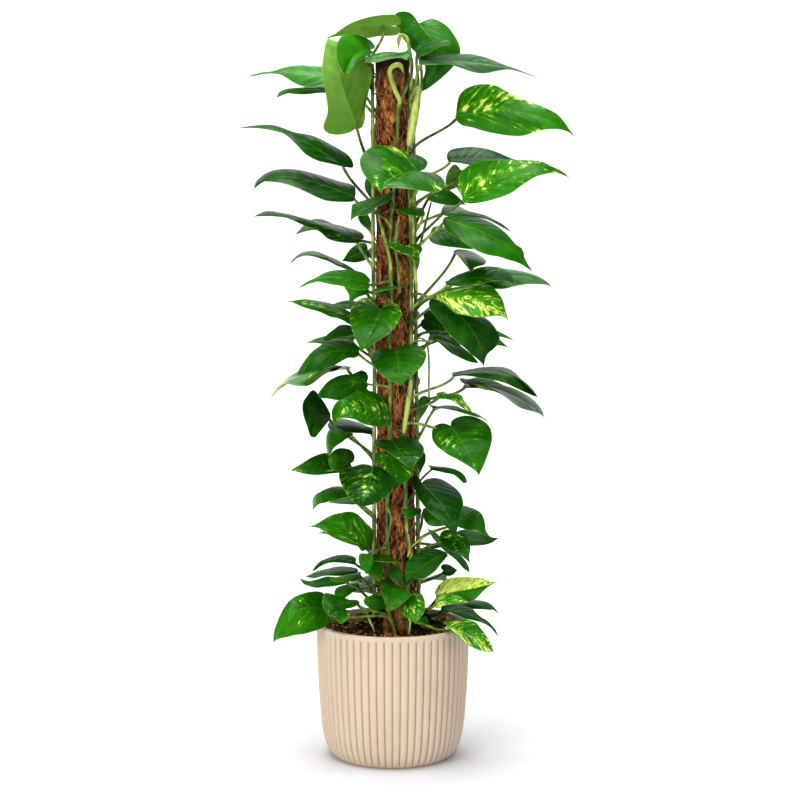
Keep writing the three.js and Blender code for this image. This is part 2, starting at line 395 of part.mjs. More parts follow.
// Leaves round the back: vine, azimuth, height of the base, length, then droop and
// turn in degrees.
const BACK_LEAVES = [
  ["back_left", -176, 1128, 120, 6, 30],
  ["back_right", 175, 1088, 105, 24, -38],
  ["back_left", -174, 1046, 120, 38, 30],
  ["back_right", 174, 1005, 110, 30, -18],
  ["back_left", -178, 970, 135, 42, 5],
  ["back_right", 177, 925, 115, 34, 12],
  ["back_left", -176, 868, 135, 20, -28],
  ["back_right", 176, 815, 120, 34, 38],
  ["back_left", -173, 775, 125, 28, -30],
  ["back_right", 174, 735, 118, 24, 15],
  ["back_left", -176, 695, 140, 40, 5],
  ["back_right", 175, 645, 110, 34, -20],
  ["back_right", 173, 600, 112, 30, -34],
  ["back_left", -174, 560, 130, 40, 38],
  ["back_right", 176, 505, 120, 30, -26],
  ["back_left", -174, 450, 130, 36, 8],
  ["back_right", 176, 400, 120, 24, 10],
  ["back_left", -168, 360, 105, 32, -20],
  ["back_right", 168, 330, 105, 28, 12],
  ["back_left", -178, 300, 130, 24, 0],
  ["back_right", 150, 276, 105, 8, 20],
  ["back_left", -150, 270, 105, 10, -20],
];
const BACK_BASE_RADIUS = 78;
const BACK_WIDTH = 0.6; // share of the length
const BACK_ARCH = 0.1;
const BACK_FOLD = 2.9; // degrees
const BACK_LOBE = 0.08;
const BACK_RISE = 45;

// Young leaves, still rolled: vine, height of the foot on the stem, radii at the foot and
// the tip, then points on the front elevation outward.
const SHOOTS = [
  ["front_left", 1080, 3.6, 4.4,
    [12, 1098, 40], [3, 1118, 42], [-5, 1145, 46], [0, 1156, 49], [12, 1158, 50], [18, 1145, 50]],
  ["front_right", 1100, 2.6, 3.4, [31, 1150, 12], [28, 1180, 2], [24, 1202, 0], [12, 1207, 2],
        [9, 1182, 4]],
];

// ---- Mesh helpers -------------------------------------------------------------------
const wasm = await Module();
wasm.setup();

function bodyOf(points, faces) {
  const geometry = new THREE.BufferGeometry();
  const numbers = points.flatMap((p) => [p.x, p.y, p.z]);
  geometry.setAttribute('position', new THREE.Float32BufferAttribute(numbers, 3));
  geometry.setIndex(faces.flat());
  return geometry;
}

function toSolid(geometry) {
  const plain = geometry.clone();
  plain.deleteAttribute('normal');
  plain.deleteAttribute('uv');
  const merged = mergeVertices(plain, 1e-4);
  return new wasm.Manifold(new wasm.Mesh({
    numProp: 3,
    vertProperties: new Float32Array(merged.attributes.position.array),
    triVerts: new Uint32Array(merged.index.array),
  }));
}

function toGeometry(solid) {
  const mesh = solid.getMesh();
  const geometry = new THREE.BufferGeometry();
  geometry.setAttribute('position', new THREE.BufferAttribute(new Float32Array(mesh.vertProperties), 3));
  geometry.setIndex(new THREE.BufferAttribute(new Uint32Array(mesh.triVerts), 1));
  geometry.computeVertexNormals();
  return geometry;
}

const ring = (radius, z, count, centre = 0) => Array.from({ length: count }, (_, i) => {
  const angle = (2 * Math.PI * i) / count;
  const r = typeof radius === 'function' ? radius(angle, i) : radius;
  return new THREE.Vector3(centre + r * Math.cos(angle), r * Math.sin(angle), z);
});

// Closes a stack of rings, listed from the middle of the underside round the outside to
// the middle of the top. Two neighbouring rings may differ in count by a whole factor.
function stack(rings, bottomPoint, topPoint) {
  const points = [bottomPoint, ...rings.flat(), topPoint];
  const faces = [];
  let start = 1;
  const first = rings[0].length;
  for (let i = 0; i < first; i += 1) faces.push([0, 1 + ((i + 1) % first), 1 + i]);
  for (let k = 0; k + 1 < rings.length; k += 1) {
    const low = rings[k].length;
    const high = rings[k + 1].length;
    const next = start + low;
    const steps = Math.max(low, high);
    for (let i = 0; i < steps; i += 1) {
      const a = start + (Math.floor((i * low) / steps) % low);
      const b = start + (Math.floor(((i + 1) * low) / steps) % low);
      const c = next + (Math.floor((i * high) / steps) % high);
      const d = next + (Math.floor(((i + 1) * high) / steps) % high);
      if (a !== b) faces.push([a, b, d]);
      if (c !== d) faces.push([a, d, c]);
    }
    start = next;
  }
  const last = rings[rings.length - 1].length;
  const end = points.length - 1;
  for (let i = 0; i < last; i += 1) faces.push([end, start + i, start + ((i + 1) % last)]);
  return bodyOf(points, faces);
}

// A closed tube through the points, with a radius at each.
function tube(points, radii, sides) {
  const corners = [];
  const faces = [];
  let across = new THREE.Vector3(1, 0, 0);
  points.forEach((point, i) => {
    const before = points[Math.max(i - 1, 0)];
    const after = points[Math.min(i + 1, points.length - 1)];
    const along = after.clone().sub(before).normalize();
    across = across.clone().addScaledVector(along, -across.dot(along)).normalize();
    const other = along.clone().cross(across);
    for (let k = 0; k < sides; k += 1) {
      const angle = (2 * Math.PI * k) / sides;
      corners.push(point.clone()
        .addScaledVector(across, radii[i] * Math.cos(angle))
        .addScaledVector(other, radii[i] * Math.sin(angle)));
    }
  });
  for (let i = 0; i + 1 < points.length; i += 1) {
    for (let k = 0; k < sides; k += 1) {
      const a = i * sides + k;
      const b = i * sides + ((k + 1) % sides);
      faces.push([a, b, b + sides], [a, b + sides, a + sides]);
    }
  }
  const top = (points.length - 1) * sides;
  for (let k = 1; k + 1 < sides; k += 1) faces.push([0, k + 1, k], [top, top + k, top + k + 1]);
  return bodyOf(corners, faces);
}

// ---- Pot ----------------------------------------------------------------------------
const POT_OUTSIDE = [ // height, radius, share of the rib depth
  [6, 104.5, 0],
  [22, 113.6, 1],
  [84, 123.2, 1],
  [RIB_TOP - 7, POT_RADIUS, 1],
  [RIB_TOP, POT_RADIUS, 0],
];
const RIM_ROUNDING = 2;
const INSIDE_TOP_RADIUS = POT_RADIUS - POT_WALL;
const INSIDE_FOOT_RADIUS = 101;

const insideRadius = (z) => THREE.MathUtils.mapLinear(
  z, POT_FLOOR, POT_HEIGHT, INSIDE_FOOT_RADIUS, INSIDE_TOP_RADIUS,
);

function potGeometry() {
  const ribbed = ([z, radius, share]) => ring(
    (angle, i) => radius - (i % 3 === 0 ? share * RIB_DEPTH : 0), z, 3 * RIB_COUNT,
  );
  const rings = [
    ring(POT_FOOT_RADIUS, 0, RIB_COUNT),
    ...POT_OUTSIDE.map(ribbed),
    ring(POT_RADIUS, POT_HEIGHT - RIM_ROUNDING, RIB_COUNT),
    ring(POT_RADIUS - RIM_ROUNDING, POT_HEIGHT, RIB_COUNT),
    ring(INSIDE_TOP_RADIUS + RIM_ROUNDING, POT_HEIGHT, RIB_COUNT),
    ring(INSIDE_TOP_RADIUS, POT_HEIGHT - RIM_ROUNDING, RIB_COUNT),
    ring(INSIDE_FOOT_RADIUS, POT_FLOOR, RIB_COUNT),
  ];
  return stack(rings, new THREE.Vector3(0, 0, 0), new THREE.Vector3(0, 0, POT_FLOOR));
}

// ---- Pole ---------------------------------------------------------------------------
const POLE_FOOT = POT_FLOOR + CLEARANCE;
const poleShare = (z) => THREE.MathUtils.mapLinear(z, POLE_FOOT, POLE_TOP, 0, 1);
const poleCentre = (z) => POLE_LEAN * (1 - poleShare(z));
const poleRadius = (z) => THREE.MathUtils.lerp(POLE_FOOT_RADIUS, POLE_TOP_RADIUS, poleShare(z));
const STAKE_TOP = POLE_TOP - 14;
const STAKE_SIDES = 16;

function stakeGeometry() {
  const rings = [POLE_FOOT, STAKE_TOP].map((z) => ring(STAKE_RADIUS, z, STAKE_SIDES, poleCentre(z)));
  return stack(
    rings,
    new THREE.Vector3(poleCentre(POLE_FOOT), 0, POLE_FOOT),
    new THREE.Vector3(poleCentre(STAKE_TOP), 0, STAKE_TOP),
  );
}

// The coir is matted by hand round the stake, so its outline swells and dips.
const SLEEVE_SIDES = 20;
const SLEEVE_STEP = 160;
const SLEEVE_SHOULDER = [[7, 1], [0, 6]]; // drop from the top, inset from the radius
const COIR_SWELL = 1.1;
const coirRadius = (angle, z) => poleRadius(z)
  + COIR_SWELL * (Math.sin(2 * angle + z / 37) + Math.sin(3 * angle - z / 53)) / 2;

function sleeveGeometry() {
  const rings = [];
  for (let z = POLE_FOOT; z < POLE_TOP - SLEEVE_STEP / 2; z += SLEEVE_STEP) {
    rings.push(ring((angle) => coirRadius(angle, z), z, SLEEVE_SIDES, poleCentre(z)));
  }
  for (const [drop, inset] of SLEEVE_SHOULDER) {
    rings.push(ring((angle) => coirRadius(angle, POLE_TOP) - inset, POLE_TOP - drop, SLEEVE_SIDES));
  }
  const outside = stack(
    rings,
    new THREE.Vector3(poleCentre(POLE_FOOT), 0, POLE_FOOT),
    new THREE.Vector3(0, 0, POLE_TOP + 1),
  );
  const boreEnds = [POLE_FOOT - 1, STAKE_TOP + CLEARANCE];
  const bore = stack(
    boreEnds.map((z) => ring(STAKE_RADIUS + CLEARANCE, z, STAKE_SIDES, poleCentre(z))),
    ...boreEnds.map((z) => new THREE.Vector3(poleCentre(z), 0, z)),
  );
  return toGeometry(toSolid(outside).subtract(toSolid(bore)));
}

// ---- Plant --------------------------------------------------------------------------
const stemTop = (vineName) => VINES[vineName][VINES[vineName].length - 1][0];

function stemPoint(vineName, z) {
  const track = VINES[vineName];
  const above = Math.max(track.findIndex(([height]) => height >= z), 1);
  const [low, high] = track.slice(above - 1, above + 1);
  const share = THREE.MathUtils.smoothstep(z, low[0], high[0]);
  const angle = THREE.MathUtils.degToRad(THREE.MathUtils.lerp(low[1], high[1], share));
  const reach = poleRadius(z) + COIR_SWELL + STEM_RADIUS + STEM_GAP;
  return new THREE.Vector3(poleCentre(z) + reach * Math.sin(angle), -reach * Math.cos(angle), z);
}

function stemGeometry(vineName) {
  const top = stemTop(vineName);
  const foot = SOIL_LEVEL - STEM_BURIED;
  const steps = Math.round((top - foot) / STEM_STEP);
  const heights = Array.from({ length: steps + 1 }, (_, i) => foot + ((top - foot) * i) / steps);
  const radii = heights.map((z) => STEM_RADIUS * THREE.MathUtils.mapLinear(z, foot, top, 1, 0.8));
  return tube(heights.map((z) => stemPoint(vineName, z)), radii, STEM_SIDES);
}

// Half outline of a heart-shaped blade: share of the length from the petiole to the tip,
// and share of the half width. The first point is on the lobe beside the petiole.
const marginOf = (lobe) => [[-lobe, 0.5], [0.2, 1], [0.68, 0.55]];
const ARCH_PEAK = 2.6; // makes the most that u - u^3 reaches into 1
const WIDEST = 0.25; // how far along the midrib its widest points are measured from
const RIB_STEP = 0.04; // least share of the midrib between two of its points
const RIB_LAG = 0.04; // share by which a point of the midrib lags behind those of the margins

// A blade: `reach` runs from base to tip, `bulge` lifts its middle, and each of `sides` runs
// from the midrib to a half's widest point.
function makeBlade(base, tip, bulge, sides) {
  const reach = tip.clone().sub(base);
  const normal = reach.clone().cross(sides[0]).normalize()
    .add(sides[1].clone().cross(reach).normalize()).normalize();
  return { base, reach, bulge, sides, normal, length: reach.length() };
}

function bladePoint({ base, reach, bulge, sides }, half, u, v) {
  return base.clone()
    .addScaledVector(reach, u)
    .addScaledVector(bulge, ARCH_PEAK * u * (1 - u * u))
    .addScaledVector(sides[half], v);
}

// A blade whose face looks `towards` something, then is turned about its midrib.
function plainBlade(base, tip, towards, [width, turn, arch, fold, lobe]) {
  const length = tip.distanceTo(base);
  const along = tip.clone().sub(base).normalize();
  const facing = towards.clone().addScaledVector(along, -towards.dot(along)).normalize();
  const upward = facing.clone().cross(along).multiplyScalar(along.x < 0 ? -1 : 1);
  const angle = THREE.MathUtils.degToRad(turn);
  const normal = facing.multiplyScalar(Math.cos(angle)).addScaledVector(upward, Math.sin(angle));
  const side = normal.clone().cross(along).multiplyScalar(width / 2);
  const lift = normal.clone().multiplyScalar((width / 2) * Math.tan(THREE.MathUtils.degToRad(fold)));
  const blade = makeBlade(base, tip, normal.multiplyScalar(arch * length), [
    side.clone().add(lift), lift.clone().sub(side),
  ]);
  return { ...blade, margins: [marginOf(lobe), marginOf(lobe)] };
}

// Finds the shares u and v at which a half of the blade is seen at `seen` on the elevation.
function sharesAt(blade, half, seen) {
  const nudge = 1e-4;
  let [u, v] = [0.3, 0.8];
  for (let round = 0; round < 12; round += 1) {
    const here = onSheet(bladePoint(blade, half, u, v));
    const alongStep = onSheet(bladePoint(blade, half, u + nudge, v));
    const acrossStep = onSheet(bladePoint(blade, half, u, v + nudge));
    const [a, b] = [alongStep[0] - here[0], acrossStep[0] - here[0]];
    const [c, d] = [alongStep[1] - here[1], acrossStep[1] - here[1]];
    const [x, y] = [seen[0] - here[0], seen[1] - here[1]];
    u += (nudge * (d * x - b * y)) / (a * d - b * c);
    v += (nudge * (a * y - c * x)) / (a * d - b * c);
  }
  return [u, v];
}

// A blade through the midrib's base, middle and tip, its widest points and its margins.
function drawnBlade(midrib, widest, margins) {
  const [base, middle, tip] = midrib.map((point) => place(...point));
  const bulge = middle.clone().sub(base.clone().add(tip).divideScalar(2))
    .divideScalar(ARCH_PEAK * 0.5 * (1 - 0.5 ** 2));
  const down = new THREE.Vector3(0, 0, -1);
  const spine = bladePoint(makeBlade(base, tip, bulge, [down, down.clone().negate()]), 0, WIDEST, 0);
  const blade = makeBlade(base, tip, bulge, widest.map((point) => place(...point).sub(spine)));
  const shares = margins.map((margin, half) => margin.map((seen) => sharesAt(blade, half, seen)));
  return { ...blade, margins: shares };
}

// Shares along the midrib at which the two halves are joined, one more than a margin's points.
function ribShares([first, second]) {
  const shares = [0];
  for (let i = 1; i < first.length; i += 1) {
    const beside = (first[i][0] + second[i][0]) / 2 - RIB_LAG;
    const most = 1 - RIB_STEP * (first.length - i);
    shares.push(Math.min(Math.max(beside, shares[i - 1] + RIB_STEP), most));
  }
  return [...shares, 1];
}

function bladeGeometry(blade) {
  const rib = ribShares(blade.margins);
  const points = rib.length - 1; // on each margin
  const middle = [
    ...rib.map((u) => bladePoint(blade, 0, u, 0)),
    ...blade.margins.flatMap((margin, half) => margin.map(([u, v]) => bladePoint(blade, half, u, v))),
  ];
  const halfFaces = (first) => {
    const m = (i) => (i === points ? rib.length - 1 : first + i);
    const faces = [[0, m(0), m(1)]];
    for (let i = 1; i < points; i += 1) faces.push([i - 1, m(i), i], [i, m(i), m(i + 1)]);
    return faces;
  };
  const left = halfFaces(rib.length).map(([a, b, c]) => [a, c, b]);
  const right = halfFaces(rib.length + points);
  const upper = [...left, ...right];
  const count = middle.length;
  const marginLoop = (first) => Array.from({ length: points }, (_, i) => first + i);
  const loop = [0, ...marginLoop(rib.length + points), rib.length - 1,
    ...marginLoop(rib.length).reverse()];
  const faces = [...upper, ...upper.map(([a, b, c]) => [a + count, c + count, b + count])];
  loop.forEach((a, i) => {
    const b = loop[(i + 1) % loop.length];
    faces.push([a, a + count, b + count], [a, b + count, b]);
  });
  const offset = (share) => middle.map((p) => p.clone()
    .addScaledVector(blade.normal, share * BLADE_THICKNESS));
  return bodyOf([...offset(0.5), ...offset(-0.5)], faces);
}

// The petiole nears the blade from below and tapers into its thickness, just past the notch
// between the lobes.
function petioleGeometry({ vine, blade, rise }) {
  const foot = stemPoint(vine, Math.min(blade.base.z - rise, stemTop(vine) - TOP_NODE_DROP));
  const span = blade.base.distanceTo(foot);
  const centre = new THREE.Vector3(poleCentre(foot.z), 0, foot.z);
  const outward = foot.clone().sub(centre).normalize();
  const level = blade.reach.clone().addScaledVector(blade.bulge, ARCH_PEAK).setZ(0).normalize();
  const approach = level.multiplyScalar(APPROACH_LEVEL).add(new THREE.Vector3(0, 0, APPROACH_UP));
  const curve = new THREE.CubicBezierCurve3(
    foot,
    foot.clone().addScaledVector(outward, PETIOLE_OUT * span)
      .add(new THREE.Vector3(0, 0, PETIOLE_UP * span)),
    blade.base.clone().addScaledVector(approach, -PETIOLE_BELOW * span)
      .addScaledVector(blade.normal, -PETIOLE_BEHIND * span),
    bladePoint(blade, 0, PETIOLE_SUNK / blade.length, 0),
  );
  const shares = span < SHORT_PETIOLE ? [1.3, 1, 0.25] : [1.3, 1, 0.9, 0.25];
  const radii = shares.map((share) => share * PETIOLE_RADIUS);
  return tube(curve.getPoints(radii.length - 1), radii, 3);
}

function plainLeaf(row) {
  const [, vine, bx, bz, bf, tx, tz, tf, ...shape] = row;
  const base = place(bx, bz, bf);
  const towards = EYE.clone().sub(base).normalize();
  const blade = plainBlade(base, place(tx, tz, tf), towards, shape);
  return { vine, blade, rise: shape.at(-1) };
}

const drawnLeaf = ([, vine, midrib, widest, margins, rise]) => (
  { vine, blade: drawnBlade(midrib, widest, margins), rise });

function backLeaf([vine, azimuth, height, length, droop, turn]) {
  const angle = THREE.MathUtils.degToRad(azimuth);
  const fall = THREE.MathUtils.degToRad(droop);
  const outward = new THREE.Vector3(Math.sin(angle), -Math.cos(angle), 0);
  const base = outward.clone().multiplyScalar(BACK_BASE_RADIUS);
  base.x += poleCentre(height);
  base.z = height;
  const tip = base.clone().addScaledVector(outward, length * Math.cos(fall));
  tip.z -= length * Math.sin(fall);
  const blade = plainBlade(base, tip, new THREE.Vector3(0, 0, 1), [
    BACK_WIDTH * length, turn, BACK_ARCH, BACK_FOLD, BACK_LOBE,
  ]);
  return { vine, blade, rise: BACK_RISE };
}

function shootGeometry([vineName, footHeight, footRadius, tipRadius, ...route]) {
  const points = [
    stemPoint(vineName, footHeight),
    ...route.map(([across, up, front]) => place(across, up, front)),
  ];
  const radii = points.map((_, i) => THREE.MathUtils.lerp(footRadius, tipRadius, i / (points.length - 1)));
  return tube(points, radii, 5);
}

const leaves = [...LEAVES.map(plainLeaf), ...DRAWN_LEAVES.map(drawnLeaf), ...BACK_LEAVES.map(backLeaf)];

function vineGeometry(vineName) {
  const pieces = [toSolid(stemGeometry(vineName))];
  for (const leaf of leaves.filter(({ vine }) => vine === vineName)) {
    pieces.push(toSolid(petioleGeometry(leaf)));
    pieces.push(toSolid(bladeGeometry(leaf.blade)));
  }
  for (const shoot of SHOOTS.filter(([vine]) => vine === vineName)) {
    pieces.push(toSolid(shootGeometry(shoot)));
  }
  return toGeometry(wasm.Manifold.union(pieces));
}

// ---- Soil ---------------------------------------------------------------------------
const SOIL_SIDES = 28;
const SOIL_BUMP = 1.6; // height of the surface's unevenness
const SOIL_WAVE = 2.7; // radians of that unevenness from one corner to the next
const SOIL_EDGE_LEVEL = SOIL_LEVEL + 7; // the surface rises towards the pot's wall
const SOIL_RINGS = [[98, SOIL_LEVEL + 4], [72, SOIL_LEVEL]]; // radius and level, on the surface
const HOLE_OVERRUN = 9; // how far the pole's hole is cut above the surface

function soilGeometry() {
  const foot = POLE_FOOT;
  const edge = (z) => insideRadius(z) * Math.cos(Math.PI / RIB_COUNT) - CLEARANCE;
  const uneven = ([radius, level]) => ring(radius, level, SOIL_SIDES)
    .map((p, i) => p.setZ(level + SOIL_BUMP * Math.sin(SOIL_WAVE * i + radius)));
  const rings = [
    ...[foot, SOIL_EDGE_LEVEL].map((z) => ring(edge(z), z, SOIL_SIDES)),
    ...SOIL_RINGS.map(uneven),
  ];
  const block = stack(rings, new THREE.Vector3(0, 0, foot), new THREE.Vector3(0, 0, SOIL_LEVEL + 1));
  const poleHole = stack(
    [foot - 1, SOIL_LEVEL + HOLE_OVERRUN].map((z) => ring(
      poleRadius(z) + COIR_SWELL + CLEARANCE, z, SLEEVE_SIDES, poleCentre(z),
    )),
    new THREE.Vector3(poleCentre(foot), 0, foot - 1),
    new THREE.Vector3(poleCentre(SOIL_LEVEL), 0, SOIL_LEVEL + HOLE_OVERRUN),
  );
  const holes = Object.keys(VINES).map((name) => {
    const bottom = SOIL_LEVEL - STEM_BURIED;
    const points = [bottom - CLEARANCE, bottom + STEM_STEP].map((z) => stemPoint(name, z));
    return toSolid(tube(points, points.map(() => STEM_RADIUS + 1), STEM_SIDES));
  });
  return toGeometry(wasm.Manifold.difference([toSolid(block), toSolid(poleHole), ...holes]));
}

// ---- Assembly -----------------------------------------------------------------------
const group = new THREE.Group();

function add(name, geometry, material) {
  const mesh = new THREE.Mesh(geometry, material);
  mesh.name = name;
  group.add(mesh);
}

add('pot', potGeometry(), MATERIALS.ceramic);
add('soil', soilGeometry(), MATERIALS.soil);
add('pole_stake', stakeGeometry(), MATERIALS.stake);
add('pole_coir', sleeveGeometry(), MATERIALS.coir);
for (const name of Object.keys(VINES)) add(`vine_${name}`, vineGeometry(name), MATERIALS.leaf);

export default group;
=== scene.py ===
"""Golden pothos on a coir pole, in a ribbed pot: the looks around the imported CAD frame.

The plant is set out in millimetres with the same rules as its solids, and every mesh is
scaled to metres when it is made.
"""

import math

import bpy
import numpy as np
from mathutils import Matrix, Vector


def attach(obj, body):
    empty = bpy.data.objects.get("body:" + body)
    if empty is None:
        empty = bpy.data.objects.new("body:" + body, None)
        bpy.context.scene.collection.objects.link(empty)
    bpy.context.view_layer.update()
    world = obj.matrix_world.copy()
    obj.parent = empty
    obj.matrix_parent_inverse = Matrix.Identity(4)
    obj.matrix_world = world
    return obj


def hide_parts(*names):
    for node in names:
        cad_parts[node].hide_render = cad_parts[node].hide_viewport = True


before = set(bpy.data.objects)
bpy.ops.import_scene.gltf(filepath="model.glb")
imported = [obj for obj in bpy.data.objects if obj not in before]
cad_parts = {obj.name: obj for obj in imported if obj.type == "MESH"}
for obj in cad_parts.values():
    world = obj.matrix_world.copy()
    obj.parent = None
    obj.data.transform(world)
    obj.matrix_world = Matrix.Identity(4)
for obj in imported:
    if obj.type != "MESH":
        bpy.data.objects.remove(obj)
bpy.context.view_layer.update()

MM = 0.001
UP = np.array([0.0, 0.0, 1.0])

# ---- Driving dimensions, in mm -------------------------------------------------------
POT_HEIGHT = 224
POT_RADIUS = 128
POT_WALL = 9
POT_FLOOR = 12
RIB_COUNT = 60
RIB_DEPTH = 3.3
RIB_TOP = 219

SOIL_LEVEL = 209
SOIL_EDGE_RISE = 7
CLEARANCE = 0.35

POLE_FOOT = POT_FLOOR + CLEARANCE
POLE_TOP = 1166
POLE_TOP_RADIUS = 27.5
POLE_FOOT_RADIUS = 33
POLE_LEAN = 8
COIR_SWELL = 1.1

STEM_RADIUS = 4
STEM_BURIED = 35
PETIOLE_RADIUS = 2.1
PETIOLE_SUNK = 5
BLADE_THICKNESS = 0.5
ARCH_PEAK = 2.6

EYE = np.array([12.0, -2800.0, 810.0])
AIM = np.array([12.0, 0.0, 598.0])
AIM_LEVEL = 600
SIGHT = (AIM - EYE) / np.linalg.norm(AIM - EYE)
SHEET_UP = np.array([0.0, -SIGHT[2], SIGHT[1]])
LENS = 75.8
SENSOR = 36

# Each vine: height and azimuth round the pole (0 at the front, 90 at the right).
VINES = {
    "left": [(SOIL_LEVEL, -82), (400, -88), (640, -72), (860, -86), (1152, -88)],
    "front_left": [(SOIL_LEVEL, -5), (250, -18), (390, -23), (560, -14), (840, -11), (1040, 12),
                   (1096, 17)],
    "front_right": [(SOIL_LEVEL, 34), (270, 28), (340, 42), (400, 27), (550, 22), (600, 40),
                    (640, 46), (840, 54), (1000, 46), (1108, 58)],
    "right": [(SOIL_LEVEL, 98), (560, 94), (800, 86), (905, 84), (1128, 92)],
    "back_right": [(SOIL_LEVEL, 148), (500, 155), (800, 146), (1075, 152)],
    "back_left": [(SOIL_LEVEL, -148), (500, -140), (800, -150), (1090, -142)],
}

# Blades seen from the front: name, vine, base (across, up, front), tip (across, up, front),
# width, turn in degrees, arch as a share of the length, fold in degrees, lobe as a share of
# the length, rise and cream. Rise is how far below the base the stalk leaves the stem. Cream
# is how much of the blade is variegated.
LEAVES = [
    # left, downwards
    ("L2b", "left", -52, 909, 40, -36, 883, 35, 18, 20, 0.05, 0, 0.03, 30, 0.1),
    ("L4b", "back_left", -42, 850, -55, -85, 831, -62, 36, 35, 0.05, 0, 0.03, 50, 0),
    ("L6b", "front_left", -32, 781, 58, 24, 789, 58, 34, 80, 0.03, 0, 0.03, 10, 0),
    ("L7b", "back_left", -60, 757, -40, -104, 758, -60, 30, 62, 0.05, 0, 0.03, 50, 0),
    ("L9b", "back_left", -66, 700, -35, -146, 694, -50, 44, 66, 0.06, 0, 0.03, 50, 0),
    ("L20b", "back_left", -58, 432, -30, -108, 428, -45, 32, 66, 0.05, 0, 0.03, 50, 0),
    ("L21b", "back_left", -66, 380, -35, -126, 377, -50, 36, 70, 0.05, 0, 0.03, 50, 0),
    # front
    ("C1", "back_left", -30, 968, -30, -35, 932, -36, 32, 10, 0.05, 0, 0.06, 60, 0),
    ("C3", "right", 112, 984, -8, 88, 946, 4, 34, 150, 0.05, 0, 0.04, 60, 0.5),
    ("C6", "front_right", 50, 918, 42, 0, 918, 56, 34, 66, 0.02, -18, 0.03, 45, 0),
    ("C22", "front_left", -45, 343, 78, -44, 308, 94, 24, 0, 0.05, 0, 0.05, 0, 0.3),
    ("C23", "front_left", -38, 330, 50, -20, 297, 68, 30, 25, 0.05, 0, 0.04, 35, 0),
    ("C24", "front_left", -36, 338, 60, 18, 327, 66, 26, 66, 0.04, 0, 0.03, 5, 0),
    # right, downwards
    ("R3d", "right", 62, 945, -12, 122, 925, -25, 40, 45, 0.06, 0, 0.05, 50, 0),
    ("R8b", "right", 104, 724, -20, 204, 698, -35, 32, 60, 0.06, 0, 0.03, 20, 0),
    ("R8c", "back_right", 100, 720, -80, 193, 687, -95, 52, 55, 0.06, 0, 0.03, 55, 0),
    ("R9b", "right", 62, 707, 5, 122, 689, 5, 36, 66, 0.05, 0, 0.03, 40, 0),
    ("R10", "back_right", 52, 736, -28, 100, 708, -40, 44, 40, 0.05, 0, 0.05, 45, 0),
    ("R19b", "back_right", 80, 362, -58, 57, 386, -54, 22, 60, 0.03, 0, 0.03, 5, 0),
    ("R28", "back_right", 84, 316, -35, 108, 316, -45, 26, 40, 0.05, 0, 0.08, 40, 0),
    ("R30", "right", 50, 238, 34, 55, 212, 42, 18, 30, 0.05, 0, 0.05, 24, 0.1),
]

